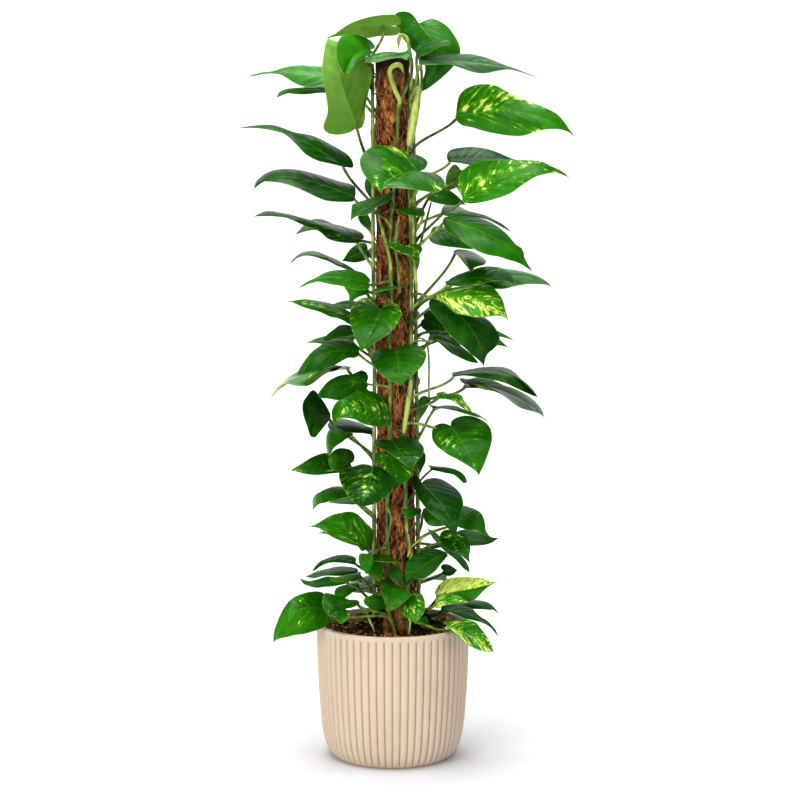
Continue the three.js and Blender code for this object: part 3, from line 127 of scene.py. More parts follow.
# Blades drawn point by point: name, vine; base, middle and tip of the midrib, and the widest
# points left and right of it, as (across, up, front); the margins left and right, from base to
# tip, as (across, up); rise and cream. A pair of creams is for the left and right half.
SHAPED_LEAVES = [
    ("T1", "left", [(-15, 1225, 5), (-62, 1221, 20), (-114, 1201, 28)], [(-30, 1240, 28), (-36, 1206, -8)],
     [[(-4, 1226), (10, 1225), (13, 1235), (3, 1243), (-13, 1242), (-50, 1235), (-75, 1226), (-100, 1208)],
      [(-4, 1224), (11, 1221), (12, 1213), (3, 1207), (-22, 1206), (-50, 1204), (-86, 1207)]], 75, 0),
    ("T2", "left", [(-38, 1183, 25), (-62, 1176, 72), (-80, 1141, 98)], [(-55, 1167, 78), (-78, 1209, 52)],
     [[(-32, 1180), (-42, 1175), (-54, 1166), (-64, 1155), (-73, 1146)],
      [(-30, 1188), (-38, 1199), (-58, 1208), (-78, 1210), (-91, 1199), (-95, 1180),
       (-89, 1156)]], 60, 0.04),
    ("T3", "left", [(-60, 1053, 30), (-82, 1118, 55), (-108, 1205, 8)], [(-38, 1106, 20), (-112, 1090, 22)],
     [[(-52, 1053), (-47, 1068), (-46, 1091), (-40, 1115), (-34, 1140), (-40, 1165), (-66, 1188)],
      [(-72, 1046), (-90, 1042), (-107, 1045), (-115, 1056), (-110, 1080), (-113, 1115), (-117, 1150),
       (-113, 1190)]], 60, 0),
    ("T4", "back_left", [(-60, 1135, -42), (-150, 1146, -50), (-242, 1139, -60)],
     [(-105, 1121, -30), (-105, 1157, -80)],
     [[(-58, 1126), (-72, 1122), (-95, 1121), (-120, 1121), (-140, 1122), (-158, 1127), (-172, 1134),
       (-186, 1142), (-200, 1144), (-218, 1143), (-232, 1140)],
      [(-58, 1144), (-75, 1153), (-100, 1157), (-130, 1159), (-155, 1158), (-178, 1154), (-200, 1148),
       (-220, 1146), (-234, 1142)]], 70, 0.12),
    ("T5", "back_left", [(-62, 1117, -45), (-135, 1118, -50), (-195, 1103, -60)],
     [(-100, 1111, -34), (-100, 1126, -66)],
     [[(-66, 1112), (-90, 1110), (-115, 1110), (-140, 1110), (-165, 1111), (-182, 1111), (-190, 1107)],
      [(-64, 1122), (-85, 1126), (-110, 1126), (-135, 1124), (-158, 1121), (-178, 1117),
       (-190, 1111)]], 60, 0),
    ("T6", "front_left", [(31, 1181, 46), (-12, 1174, 62), (-53, 1164, 60)],
     [(10, 1168, 70), (10, 1184, 44)],
     [[(32, 1174), (24, 1168), (13, 1170), (-8, 1167), (-26, 1164), (-42, 1163)],
      [(28, 1187), (20, 1181), (3, 1178), (-15, 1180), (-29, 1179), (-44, 1172)]], 93, 0),
    ("T7", "right", [(38, 1181, 24), (72, 1192, 42), (99, 1193, 46)], [(64, 1197, 26), (62, 1180, 52)],
     [[(37, 1188), (47, 1196), (63, 1198), (76, 1199), (88, 1200), (96, 1197)],
      [(42, 1173), (56, 1178), (70, 1185), (80, 1189), (90, 1191)]], 70, 0.08),
    ("T9", "right", [(43, 1228, -15), (74, 1182, 2), (46, 1112, -12)], [(106, 1198, -14), (22, 1204, -22)],
     [[(54, 1233), (68, 1235), (88, 1225), (104, 1206), (113, 1182), (104, 1160), (84, 1139), (60, 1120)],
      [(38, 1236), (30, 1245), (15, 1248), (2, 1241), (6, 1222), (22, 1196), (44, 1172), (54, 1155),
       (49, 1130)]], 135, 0.05),
    ("T12", "front_right", [(45, 1166, 44), (148, 1161, 56), (242, 1137, 50)],
     [(95, 1177, 10), (95, 1154, 86)],
     [[(50, 1174), (66, 1177), (88, 1178), (112, 1177), (135, 1173), (158, 1168), (182, 1161), (205, 1153),
       (225, 1144)],
      [(46, 1160), (66, 1158), (88, 1157), (108, 1153), (128, 1149), (150, 1148), (175, 1150), (198, 1150),
       (222, 1143)]], 60, 0.12),
    ("T13", "front_right", [(104, 1072, 35), (205, 1080, 62), (305, 1037, 60)],
     [(156, 1125, 22), (185, 1040, 66)],
     [[(111, 1079), (107, 1090), (108, 1100), (111, 1108), (119, 1116), (130, 1121), (144, 1124),
       (169, 1124), (183, 1119), (199, 1111), (228, 1098), (256, 1086), (274, 1076), (288, 1060),
       (299, 1045)],
      [(107, 1065), (117, 1057), (132, 1054), (149, 1048), (167, 1044), (190, 1041), (213, 1041),
       (228, 1045), (242, 1049), (265, 1051), (283, 1050), (296, 1045)]], 60, (0.48, 0.26)),
    ("L1", "left", [(-80, 988, 30), (-160, 1037, 50), (-259, 1053, 50)], [(-118, 997, 62), (-110, 1031, 2)],
     [[(-92, 992), (-108, 995), (-124, 997), (-144, 1009), (-160, 1026), (-180, 1043), (-200, 1049),
       (-225, 1053)],
      [(-67, 987), (-67, 995), (-76, 1009), (-99, 1025), (-129, 1040), (-165, 1046), (-200, 1058),
       (-228, 1058)]], 60, 0.02),
    ("L2", "front_left", [(-63, 938, 45), (-158, 970, 60), (-233, 950, 60)],
     [(-112, 934, 78), (-112, 973, 16)],
     [[(-66, 931), (-80, 930), (-112, 934), (-142, 946), (-172, 957), (-204, 964), (-225, 962)],
      [(-62, 946), (-66, 957), (-88, 965), (-129, 979), (-179, 984), (-214, 976), (-229, 963)]], 50, 0),
    ("L3", "left", [(-60, 868, 25), (-142, 897, 34), (-233, 906, 35)], [(-95, 863, 52), (-110, 895, -6)],
     [[(-46, 866), (-58, 861), (-80, 861), (-106, 869), (-122, 882), (-150, 892), (-186, 906)],
      [(-48, 871), (-54, 878), (-74, 883), (-103, 893), (-133, 900), (-174, 911), (-208, 914)]], 45, 0.14),
    ("L3b", "back_left", [(-96, 886, -45), (-128, 892, -50), (-163, 875, -60)],
     [(-115, 882, -30), (-112, 899, -75)],
     [[(-100, 882), (-115, 882), (-130, 883), (-145, 881), (-156, 878)],
      [(-97, 892), (-110, 899), (-125, 902), (-138, 899), (-150, 890), (-158, 881)]], 40, 0),
    ("L4", "left", [(-61, 813, -10), (-128, 842, -2), (-173, 824, -5)], [(-95, 825, 14), (-93, 833, -34)],
     [[(-62, 810), (-80, 819), (-93, 825), (-107, 832), (-121, 836), (-135, 839), (-150, 839), (-158, 837),
       (-167, 832)],
      [(-62, 815), (-68, 819), (-82, 828), (-100, 836), (-118, 843), (-135, 845), (-150, 846), (-160, 844),
       (-166, 836)]], 50, 0),
    ("L5", "front_left", [(-40, 795, 58), (-104, 806, 76), (-157, 786, 72)],
     [(-72, 790, 90), (-68, 817, 36)],
     [[(-39, 786), (-50, 782), (-64, 784), (-76, 788), (-91, 792), (-103, 793), (-114, 795), (-125, 797),
       (-133, 795), (-142, 793), (-150, 789)],
      [(-37, 799), (-41, 805), (-48, 812), (-59, 815), (-71, 817), (-87, 816), (-103, 815), (-114, 812),
       (-125, 806), (-137, 798), (-148, 792)]], 2, 0.22),
    ("L6", "front_left", [(-40, 784, 62), (-58, 781, 92), (-73, 761, 118)],
     [(-55, 773, 84), (-76, 790, 86)],
     [[(-40, 779), (-52, 773), (-63, 769), (-70, 765)],
      [(-44, 791), (-58, 795), (-74, 793), (-80, 789), (-77, 782), (-73, 774)]], 14, 0.2),
    ("L7", "left", [(-62, 735, 20), (-122, 757, 34), (-175, 764, 30)], [(-95, 737, 46), (-100, 760, 4)],
     [[(-64, 724), (-71, 725), (-82, 733), (-93, 738), (-104, 740), (-114, 744), (-128, 748), (-139, 750),
       (-150, 754), (-159, 759), (-167, 763)],
      [(-60, 742), (-70, 745), (-79, 750), (-91, 756), (-102, 760), (-114, 764), (-128, 767), (-142, 768),
       (-155, 767), (-167, 765)]], 50, 0.34),
    ("L8", "front_left", [(-20, 752, 48), (-32, 722, 86), (-55, 680, 112)], [(11, 742, 70), (-70, 738, 62)],
     [[(-14, 757), (-9, 763), (-3, 765), (5, 762), (12, 753), (14, 742), (9, 731), (2, 721), (-9, 710),
       (-21, 701), (-34, 693), (-45, 687)],
      [(-25, 757), (-32, 766), (-39, 771), (-50, 771), (-59, 766), (-68, 756), (-71, 746), (-71, 731),
       (-68, 717), (-63, 703), (-57, 692)]], 40, 0.34),
    ("L9", "left", [(-62, 716, 10), (-95, 714, 24), (-121, 697, 25)], [(-88, 704, 30), (-86, 725, 6)],
     [[(-63, 710), (-78, 706), (-90, 704), (-102, 700), (-112, 697)],
      [(-66, 722), (-76, 725), (-89, 724), (-98, 718), (-107, 711), (-115, 703)]], 45, 0.03),
    ("L10", "front_left", [(-56, 681, 40), (-112, 678, 78), (-160, 633, 75)],
     [(-85, 664, 72), (-92, 699, 36)],
     [[(-56, 675), (-64, 670), (-75, 670), (-86, 665), (-96, 659), (-107, 655), (-118, 651), (-132, 646),
       (-143, 642), (-152, 640)],
      [(-56, 688), (-66, 694), (-78, 697), (-88, 699), (-101, 699), (-114, 697), (-123, 690), (-135, 680),
       (-144, 669), (-151, 659), (-157, 649), (-159, 641)]], 50, 0.12),
    ("L11", "left", [(-72, 652, 0), (-146, 640, 22), (-205, 601, 15)], [(-110, 646, 34), (-108, 656, -24)],
     [[(-72, 648), (-78, 644), (-96, 645), (-110, 646), (-121, 642), (-132, 637), (-143, 632), (-153, 626),
       (-167, 622), (-182, 618), (-193, 613)],
      [(-70, 655), (-75, 657), (-88, 657), (-104, 656), (-120, 656), (-140, 653), (-157, 649), (-165, 646),
       (-173, 642), (-182, 635), (-189, 626), (-195, 617), (-200, 609)]], 50, 0.4),
    ("L12", "front_left", [(-43, 630, 34), (-88, 626, 64), (-126, 606, 70)],
     [(-72, 607, 62), (-72, 643, 46)],
     [[(-42, 622), (-50, 612), (-65, 605), (-80, 601), (-95, 600), (-108, 602), (-119, 603)],
      [(-41, 637), (-44, 645), (-52, 649), (-58, 647), (-68, 643), (-78, 643), (-89, 641), (-100, 636),
       (-109, 630), (-117, 621), (-123, 613)]], 12, 0.1),
    ("L13", "front_left", [(-9, 578, 46), (-58, 588, 92), (-97, 556, 116)],
     [(-30, 556, 92), (-36, 614, 50)],
     [[(-4, 571), (-3, 564), (-6, 559), (-14, 556), (-28, 556), (-43, 558), (-54, 562), (-62, 567),
       (-78, 570), (-90, 569), (-96, 564)],
      [(-7, 586), (-9, 595), (-14, 603), (-25, 610), (-37, 615), (-50, 617), (-64, 613), (-78, 605),
       (-92, 598), (-98, 591), (-102, 582), (-101, 570)]], 40, 0.42),
    ("L14", "left", [(-104, 573, 20), (-128, 570, 60), (-135, 535, 100)],
     [(-117, 557, 60), (-128, 610, 30)],
     [[(-105, 568), (-110, 561), (-115, 557), (-118, 551), (-125, 543), (-131, 538)],
      [(-105, 579), (-112, 591), (-121, 603), (-128, 612), (-134, 616), (-139, 613), (-144, 605),
       (-149, 593), (-149, 582), (-147, 570), (-143, 556), (-139, 542)]], 70, 0.12),
    ("L15", "back_left", [(-34, 548, -30), (-72, 558, -14), (-110, 558, -24)],
     [(-62, 545, -4), (-60, 560, -50)],
     [[(-36, 543), (-50, 545), (-64, 545), (-80, 546), (-98, 548), (-106, 552)],
      [(-34, 553), (-46, 557), (-60, 563), (-76, 568), (-94, 569), (-105, 564)]], 50, 0.02),
    ("L16", "left", [(-66, 543, 26), (-98, 540, 50), (-106, 502, 60)], [(-82, 531, 50), (-84, 546, 32)],
     [[(-70, 540), (-76, 537), (-84, 531), (-92, 525), (-99, 518), (-104, 509)],
      [(-68, 546), (-78, 547), (-89, 546), (-99, 543), (-107, 537), (-110, 525), (-110, 513)]], 45, 0.12),
    ("L17", "left", [(-84, 487, 20), (-130, 494, 32), (-170, 482, 25)], [(-110, 476, 40), (-112, 510, 8)],
     [[(-84, 481), (-92, 478), (-103, 477), (-118, 476), (-135, 476), (-149, 477), (-160, 480)],
      [(-84, 493), (-92, 506), (-102, 511), (-113, 512), (-125, 508), (-137, 503), (-149, 496),
       (-160, 489)]], 50, 0.34),
    ("L18", "left", [(-70, 494, 20), (-88, 500, 52), (-105, 488, 64)], [(-80, 485, 40), (-84, 520, 30)],
     [[(-72, 489), (-80, 485), (-90, 483), (-99, 484)],
      [(-66, 497), (-64, 504), (-67, 513), (-74, 518), (-84, 520), (-94, 518), (-104, 509), (-107, 499),
       (-106, 493)]], 45, 0.1),
    ("L19", "left", [(-34, 489, 68), (-40, 458, 112), (-53, 421, 136)], [(0, 464, 86), (-86, 468, 84)],
     [[(-29, 491), (-20, 487), (-9, 479), (-2, 470), (2, 461), (0, 452), (-7, 442), (-18, 433), (-28, 427),
       (-41, 424)],
      [(-40, 492), (-52, 493), (-64, 490), (-78, 487), (-88, 482), (-90, 474), (-88, 465), (-84, 455),
       (-75, 440), (-66, 431), (-58, 425)]], 25, (0.26, 0.34)),
    ("L20", "left", [(-70, 443, 25), (-108, 446, 48), (-134, 414, 45)], [(-92, 433, 46), (-92, 457, 18)],
     [[(-72, 439), (-86, 436), (-99, 432), (-114, 429), (-122, 427), (-130, 420)],
      [(-70, 449), (-80, 454), (-89, 457), (-99, 456), (-110, 452), (-121, 446), (-130, 438), (-134, 435),
       (-134, 426)]], 40, 0.34),
    ("L21", "front_left", [(-42, 352, 40), (-88, 389, 72), (-141, 387, 65)],
     [(-78, 361, 74), (-60, 409, 40)],
     [[(-47, 349), (-53, 349), (-58, 356), (-69, 359), (-83, 363), (-97, 369), (-108, 376), (-118, 384),
       (-130, 388)],
      [(-36, 357), (-32, 370), (-34, 384), (-46, 396), (-55, 406), (-64, 412), (-73, 414), (-87, 412),
       (-100, 409), (-112, 403), (-126, 394)]], 35, 0.34),
    ("L22", "left", [(-62, 331, 15), (-106, 336, 26), (-135, 312, 25)], [(-85, 328, 34), (-82, 342, 0)],
     [[(-65, 326), (-75, 328), (-87, 329), (-101, 329), (-113, 326), (-122, 322), (-129, 317)],
      [(-61, 336), (-67, 340), (-79, 342), (-92, 341), (-104, 338), (-117, 332), (-126, 324)]], 30, 0),
    ("L23", "left", [(-58, 316, -8), (-105, 316, 4), (-147, 304, 0)], [(-85, 309, 14), (-84, 321, -22)],
     [[(-60, 312), (-72, 309), (-86, 308), (-100, 306), (-115, 305), (-130, 304)],
      [(-60, 320), (-74, 321), (-94, 321), (-112, 319), (-124, 316), (-136, 310)]], 35, 0),
    ("L24", "front_left", [(-74, 300, 50), (-116, 296, 66), (-156, 303, 66)],
     [(-95, 290, 70), (-96, 305, 46)],
     [[(-76, 294), (-90, 291), (-101, 290), (-115, 289), (-129, 286), (-142, 290), (-149, 294)],
      [(-76, 304), (-90, 305), (-108, 305), (-117, 303), (-129, 300), (-142, 298), (-151, 299)]], 40, 0.05),
    ("L25", "front_left", [(-54, 305, 72), (-82, 304, 94), (-106, 302, 104)],
     [(-74, 297, 96), (-74, 309, 74)],
     [[(-54, 301), (-62, 299), (-74, 297), (-87, 296), (-97, 298)],
      [(-54, 313), (-65, 312), (-79, 308), (-90, 305)]], 35, 0.25),
    ("L26", "left", [(-56, 292, 34), (-78, 284, 58), (-90, 267, 66)], [(-70, 278, 56), (-82, 290, 40)],
     [[(-57, 288), (-65, 281), (-74, 274), (-81, 269), (-86, 267)],
      [(-60, 296), (-71, 293), (-81, 292), (-90, 289), (-96, 283), (-97, 275), (-94, 269)]], 40, 0.12),
    ("L27", "left", [(-107, 250, 52), (-158, 250, 92), (-200, 193, 98)], [(-140, 212, 96), (-138, 280, 50)],
     [[(-101, 243), (-100, 236), (-106, 227), (-115, 221), (-128, 216), (-140, 212), (-151, 209),
       (-167, 207), (-179, 204), (-192, 201)],
      [(-104, 262), (-110, 273), (-120, 280), (-133, 280), (-145, 278), (-156, 275), (-167, 270),
       (-174, 264), (-181, 255), (-187, 244), (-192, 232), (-196, 221), (-199, 209)]], 40, 0.22),
    ("L28", "front_left", [(-55, 262, 78), (-92, 259, 112), (-101, 234, 126)],
     [(-80, 252, 106), (-84, 268, 92)],
     [[(-60, 257), (-72, 253), (-85, 251), (-93, 246), (-98, 239)],
      [(-60, 266), (-72, 267), (-84, 266), (-93, 266), (-101, 272), (-111, 277), (-117, 270), (-117, 260),
       (-113, 250), (-107, 242)]], 38, 0.22),
    ("L29", "front_left", [(-84, 249, 88), (-84, 239, 100), (-85, 226, 106)],
     [(-73, 244, 98), (-96, 240, 96)],
     [[(-80, 251), (-73, 248), (-72, 243), (-76, 235), (-81, 230)],
      [(-90, 249), (-97, 244), (-97, 236), (-91, 230)]], 30, (0.42, 0.32)),
    ("C0", "front_right", [(46, 981, 52), (6, 974, 92), (-21, 945, 122)], [(60, 947, 112), (-20, 1022, 52)],
     [[(54, 979), (70, 978), (84, 968), (86, 957), (72, 947), (47, 948), (18, 952), (-10, 954)],
      [(53, 985), (58, 997), (48, 1006), (25, 1014), (-5, 1022), (-30, 1023), (-48, 1013), (-55, 998),
       (-48, 976), (-32, 958)]], 50, (0.2, 0.3)),
    ("C2", "front_left", [(0, 946, 52), (-38, 922, 72), (-71, 899, 84)], [(-20, 925, 80), (-26, 936, 56)],
     [[(-2, 938), (-14, 927), (-26, 921), (-37, 911), (-48, 909), (-58, 907), (-66, 903)],
      [(-2, 950), (-10, 944), (-21, 938), (-35, 932), (-46, 927), (-56, 923), (-66, 923),
       (-70, 912)]], 50, 0),
    ("C5", "front_right", [(44, 841, 44), (16, 853, 64), (-14, 860, 68)], [(26, 840, 66), (30, 860, 48)],
     [[(45, 834), (42, 828), (36, 834), (25, 840), (14, 844), (6, 849), (-4, 855)],
      [(47, 846), (49, 852), (43, 858), (32, 860), (21, 858), (10, 860), (-4, 863)]], 35, 0.36),
    ("C10", "front_left", [(6, 683, 48), (9, 655, 92), (13, 623, 114)], [(52, 668, 66), (-33, 668, 66)],
     [[(10, 689), (19, 691), (32, 692), (45, 689), (54, 682), (56, 674), (52, 662), (45, 653), (36, 645),
       (27, 637), (19, 630)],
      [(-2, 684), (-12, 686), (-23, 685), (-32, 680), (-36, 671), (-35, 662), (-27, 651), (-18, 641),
       (-7, 634), (4, 629)]], 40, (0.3, 0.2)),
    ("C11", "front_right", [(-2, 531, 58), (15, 510, 92), (29, 481, 112)], [(48, 518, 76), (-22, 522, 78)],
     [[(4, 534), (11, 539), (21, 540), (32, 538), (41, 534), (48, 527), (52, 518), (50, 509), (43, 500),
       (36, 492)],
      [(-10, 533), (-21, 535), (-29, 534), (-32, 529), (-28, 523), (-19, 518), (-9, 513), (2, 506),
       (12, 499), (21, 492)]], 40, 0.3),
    ("C11b", "right", [(50, 514, 28), (49, 498, 40), (45, 480, 46)], [(54, 500, 36), (38, 502, 40)],
     [[(53, 512), (55, 506), (54, 496), (50, 488)],
      [(46, 513), (40, 506), (38, 498), (41, 488)]], 40, 0.12),
    ("C12", "front_right", [(-6, 507, 50), (3, 482, 68), (5, 453, 78)], [(32, 482, 62), (-24, 490, 60)],
     [[(6, 512), (20, 504), (31, 490), (34, 477), (27, 469), (20, 464), (12, 458)],
      [(-13, 512), (-23, 513), (-31, 509), (-29, 500), (-19, 487), (-9, 477), (-1, 466)]], 40, 0.32),
    ("C20", "front_left", [(-12, 264, 60), (-28, 266, 80), (-49, 262, 92)],
     [(-30, 251, 84), (-28, 274, 72)],
     [[(-12, 256), (-22, 250), (-35, 251), (-44, 257)],
      [(-14, 270), (-21, 273), (-30, 275), (-40, 273), (-48, 268)]], 35, 0.1),
    ("C25", "front_left", [(5, 324, 50), (8, 308, 66), (12, 291, 78)], [(17, 304, 66), (-5, 309, 66)],
     [[(10, 321), (15, 312), (17, 302), (15, 296)],
      [(0, 320), (-6, 311), (-3, 303), (5, 296)]], 35, 0.02),
    ("C26", "front_left", [(2, 292, 60), (-2, 272, 92), (-7, 247, 104)], [(26, 275, 84), (-18, 284, 80)],
     [[(8, 292), (17, 285), (27, 279), (28, 273), (21, 265), (12, 257), (2, 251)],
      [(-2, 301), (-8, 303), (-15, 301), (-21, 294), (-20, 284), (-17, 273), (-12, 262),
       (-9, 253)]], 35, 0.1),
    ("C27", "front_right", [(26, 270, 66), (34, 250, 96), (38, 228, 108)], [(52, 258, 88), (16, 252, 88)],
     [[(32, 279), (41, 281), (49, 275), (53, 266), (54, 255), (52, 246), (48, 240), (43, 233)],
      [(22, 262), (14, 255), (12, 247), (17, 243), (24, 238), (31, 232)]], 28, 0.4),
    ("C28", "right", [(91, 345, 32), (56, 327, 56), (14, 283, 66)], [(62, 308, 60), (48, 349, 34)],
     [[(88, 336), (80, 327), (72, 316), (61, 307), (50, 302), (38, 302), (32, 300), (28, 294), (21, 289)],
      [(84, 346), (75, 351), (63, 351), (50, 350), (38, 343), (29, 336), (23, 327), (21, 318), (21, 306),
       (17, 294)]], 15, 0.1),
    ("C30", "front_right", [(48, 415, 42), (30, 412, 56), (24, 399, 60)], [(38, 408, 56), (32, 419, 50)],
     [[(46, 411), (38, 408), (30, 402)],
      [(46, 419), (34, 419), (25, 419), (14, 417), (19, 408)]], 40, 0.2),
    ("R1", "right", [(92, 998, -10), (150, 1003, -14), (205, 1000, -30)],
     [(120, 1022, -34), (120, 995, 12)],
     [[(90, 1004), (91, 1011), (95, 1016), (103, 1020), (121, 1022), (137, 1021), (156, 1018), (174, 1013),
       (188, 1007), (199, 1002)],
      [(98, 996), (114, 995), (131, 994), (150, 995), (175, 996), (192, 998)]], 40, 0),
    ("R2", "front_right", [(116, 936, 48), (204, 977, 78), (296, 970, 60)],
     [(150, 997, 30), (160, 930, 84)],
     [[(114, 943), (107, 953), (105, 961), (107, 971), (114, 980), (125, 988), (135, 993), (149, 997),
       (167, 999), (190, 1001), (220, 1001), (240, 999), (252, 996), (263, 990), (274, 985), (285, 979)],
      [(117, 930), (130, 927), (146, 928), (160, 931), (174, 936), (188, 942), (201, 949), (212, 957),
       (224, 964), (238, 972), (252, 976), (267, 979), (284, 978)]], 55, (0.42, 0.3)),
    ("R3", "front_right", [(84, 902, 55), (163, 873, 88), (233, 814, 85)], [(150, 905, 36), (107, 870, 92)],
     [[(88, 905), (103, 906), (125, 905), (144, 904), (158, 900), (170, 894), (180, 886), (191, 875),
       (200, 864), (207, 857), (214, 853), (218, 846), (220, 836), (226, 825)],
      [(84, 896), (89, 884), (98, 877), (109, 868), (121, 859), (134, 852), (145, 847), (159, 843),
       (170, 841), (180, 839), (192, 834), (205, 830), (216, 825), (225, 819)]], 60, 0.05),
    ("R3b", "right", [(80, 914, -5), (150, 906, 4), (197, 879, -20)], [(125, 918, -30), (110, 905, 20)],
     [[(84, 922), (98, 924), (112, 922), (131, 916), (149, 910), (164, 903), (178, 895), (190, 887)],
      [(84, 908), (105, 906), (130, 905), (150, 902), (168, 895), (182, 889)]], 50, 0),
    ("R3c", "back_right", [(64, 882, -50), (104, 874, -50), (144, 851, -60)],
     [(80, 889, -76), (85, 856, -20)],
     [[(68, 889), (80, 890), (93, 886), (106, 877), (120, 868), (134, 858)],
      [(60, 873), (64, 864), (76, 858), (92, 855), (110, 854), (128, 852)]], 50, 0.1),
    ("R4", "right", [(104, 850, 8), (119, 838, 60), (130, 812, 88)], [(150, 836, 30), (106, 843, 60)],
     [[(112, 851), (128, 848), (141, 843), (152, 837), (156, 831), (152, 825), (144, 823), (137, 821),
       (133, 817)],
      [(101, 847), (106, 841), (112, 836), (120, 827), (126, 819)]], 90, 0.06),
    ("R5", "front_right", [(88, 795, 52), (150, 803, 70), (203, 793, 68)], [(130, 816, 34), (120, 790, 76)],
     [[(87, 798), (96, 800), (100, 803), (109, 809), (120, 813), (130, 816), (144, 820), (159, 822),
       (173, 821), (187, 816), (197, 810), (200, 803)],
      [(90, 792), (98, 790), (116, 790), (134, 791), (148, 793), (160, 797), (175, 799), (190, 798),
       (199, 796)]], 45, 0.2),
    ("R6", "right", [(98, 797, 8), (190, 808, 16), (266, 787, 0)], [(150, 820, -34), (150, 786, 48)],
     [[(98, 804), (112, 812), (140, 818), (170, 820), (188, 818), (202, 818), (216, 816), (230, 812),
       (242, 807), (251, 801), (259, 795)],
      [(100, 792), (125, 789), (158, 790), (170, 788), (187, 787), (205, 789), (223, 791), (241, 793),
       (253, 793), (260, 791)]], 45, 0.1),
    ("R7", "front_right", [(73, 776, 62), (138, 768, 94), (194, 731, 96)], [(125, 791, 50), (95, 753, 96)],
     [[(79, 780), (89, 783), (98, 787), (112, 791), (130, 792), (150, 791), (160, 790), (168, 785),
       (176, 777), (183, 768), (186, 759), (188, 749), (191, 739)],
      [(74, 768), (79, 765), (88, 760), (97, 751), (106, 744), (118, 740), (131, 738), (145, 738),
       (160, 740), (174, 741), (185, 738)]], 5, (0.52, 0.66)),
    ("R8", "front_right", [(72, 768, 34), (124, 727, 74), (152, 655, 66)], [(125, 745, 40), (66, 738, 58)],
     [[(79, 765), (84, 763), (92, 756), (100, 747), (108, 742), (120, 740), (134, 739), (148, 738),
       (159, 731), (168, 722), (175, 713), (179, 704), (177, 695), (168, 685), (159, 678), (154, 669)],
      [(66, 770), (61, 765), (60, 757), (64, 748), (72, 738), (81, 727), (90, 714), (100, 704), (111, 694),
       (122, 685), (131, 676), (140, 669), (148, 662)]], 45, 0.06),
    ("R9", "front_right", [(66, 704, 20), (112, 688, 32), (143, 660, 46)], [(95, 705, 10), (85, 692, 34)],
     [[(66, 708), (80, 707), (92, 705), (103, 697), (113, 690), (125, 681), (136, 670)],
      [(65, 699), (76, 700), (84, 694), (92, 680), (98, 673), (108, 670), (120, 668), (132, 664)]], 10, 0),
    ("R11", "front_right", [(99, 641, 40), (180, 647, 64), (243, 603, 56)],
     [(140, 653, 20), (135, 640, 66)],
     [[(100, 647), (115, 650), (136, 653), (154, 655), (172, 655), (186, 653), (198, 648), (209, 640),
       (218, 631), (227, 620), (236, 611)],
      [(102, 638), (115, 640), (129, 640), (143, 639), (157, 637), (172, 633), (182, 628), (193, 622),
       (202, 618), (213, 615), (225, 612), (234, 608)]], 45, 0.05),
    ("R12", "right", [(120, 626, 12), (186, 612, 30), (254, 570, 15)], [(150, 637, -16), (150, 619, 44)],
     [[(113, 632), (113, 638), (125, 636), (140, 638), (154, 637), (168, 631), (182, 625), (196, 618),
       (207, 615), (220, 612), (230, 606), (239, 598), (245, 590), (250, 580)],
      [(117, 622), (127, 622), (147, 620), (157, 615), (171, 608), (186, 601), (200, 594), (214, 590),
       (228, 585), (241, 579), (249, 575)]], 40, 0.06),
    ("R13", "front_right", [(74, 606, 48), (106, 605, 60), (133, 578, 64)], [(96, 612, 44), (90, 600, 60)],
     [[(73, 611), (84, 613), (92, 610), (104, 612), (113, 609), (118, 601), (123, 591), (129, 583)],
      [(70, 599), (78, 602), (88, 601), (97, 599), (107, 594), (116, 588), (125, 582)]], 35, 0.42),
    ("R13b", "right", [(60, 604, 18), (54, 595, 30), (47, 577, 28)], [(61, 594, 26), (45, 598, 26)],
     [[(61, 600), (59, 592), (54, 585), (50, 581)],
      [(54, 607), (46, 604), (42, 596), (42, 586), (44, 580)]], 40, 0),
    ("R14", "right", [(66, 586, -10), (115, 585, 0), (164, 559, -2)], [(92, 592, -24), (92, 584, 8)],
     [[(64, 591), (79, 590), (93, 592), (107, 589), (122, 582), (136, 576), (152, 567)],
      [(66, 580), (74, 582), (83, 586), (97, 584), (111, 582), (125, 578), (145, 569)]], 50, 0),
    ("R15", "front_right", [(96, 557, 36), (119, 523, 82), (144, 474, 104)],
     [(158, 558, 44), (70, 530, 60)],
     [[(97, 562), (100, 567), (111, 572), (125, 574), (140, 571), (152, 565), (161, 556), (165, 544),
       (165, 531), (162, 519), (157, 505), (152, 492), (147, 482)],
      [(90, 560), (81, 561), (72, 558), (66, 551), (65, 541), (67, 532), (74, 522), (83, 515), (93, 508),
       (106, 502), (118, 495), (131, 487), (139, 481)]], 2, (0.12, 0.26)),
    ("R16", "right", [(62, 487, 5), (104, 483, 14), (124, 460, 12)], [(85, 490, -6), (85, 478, 16)],
     [[(59, 492), (77, 490), (97, 486), (111, 481), (120, 473)],
      [(64, 484), (75, 481), (88, 478), (104, 475), (113, 467), (119, 461)]], 28, 0),
    ("R17", "front_right", [(48, 462, 42), (82, 424, 90), (105, 369, 100)], [(112, 445, 50), (38, 444, 64)],
     [[(52, 466), (61, 469), (72, 470), (84, 467), (96, 460), (107, 451), (114, 441), (117, 430),
       (117, 421), (113, 411), (112, 400), (110, 393), (107, 383)],
      [(43, 471), (37, 475), (32, 470), (33, 458), (38, 447), (45, 433), (54, 421), (65, 410), (76, 401),
       (86, 392), (95, 383), (101, 376)]], 40, 0.05),
    ("R18", "right", [(103, 376, 36), (117, 352, 60), (129, 329, 66)], [(127, 366, 50), (86, 356, 44)],
     [[(108, 380), (118, 377), (125, 369), (129, 358), (129, 348), (127, 338)],
      [(98, 382), (91, 384), (82, 381), (78, 372), (82, 361), (92, 352), (103, 345), (112, 342),
       (121, 335)]], 40, 0.26),
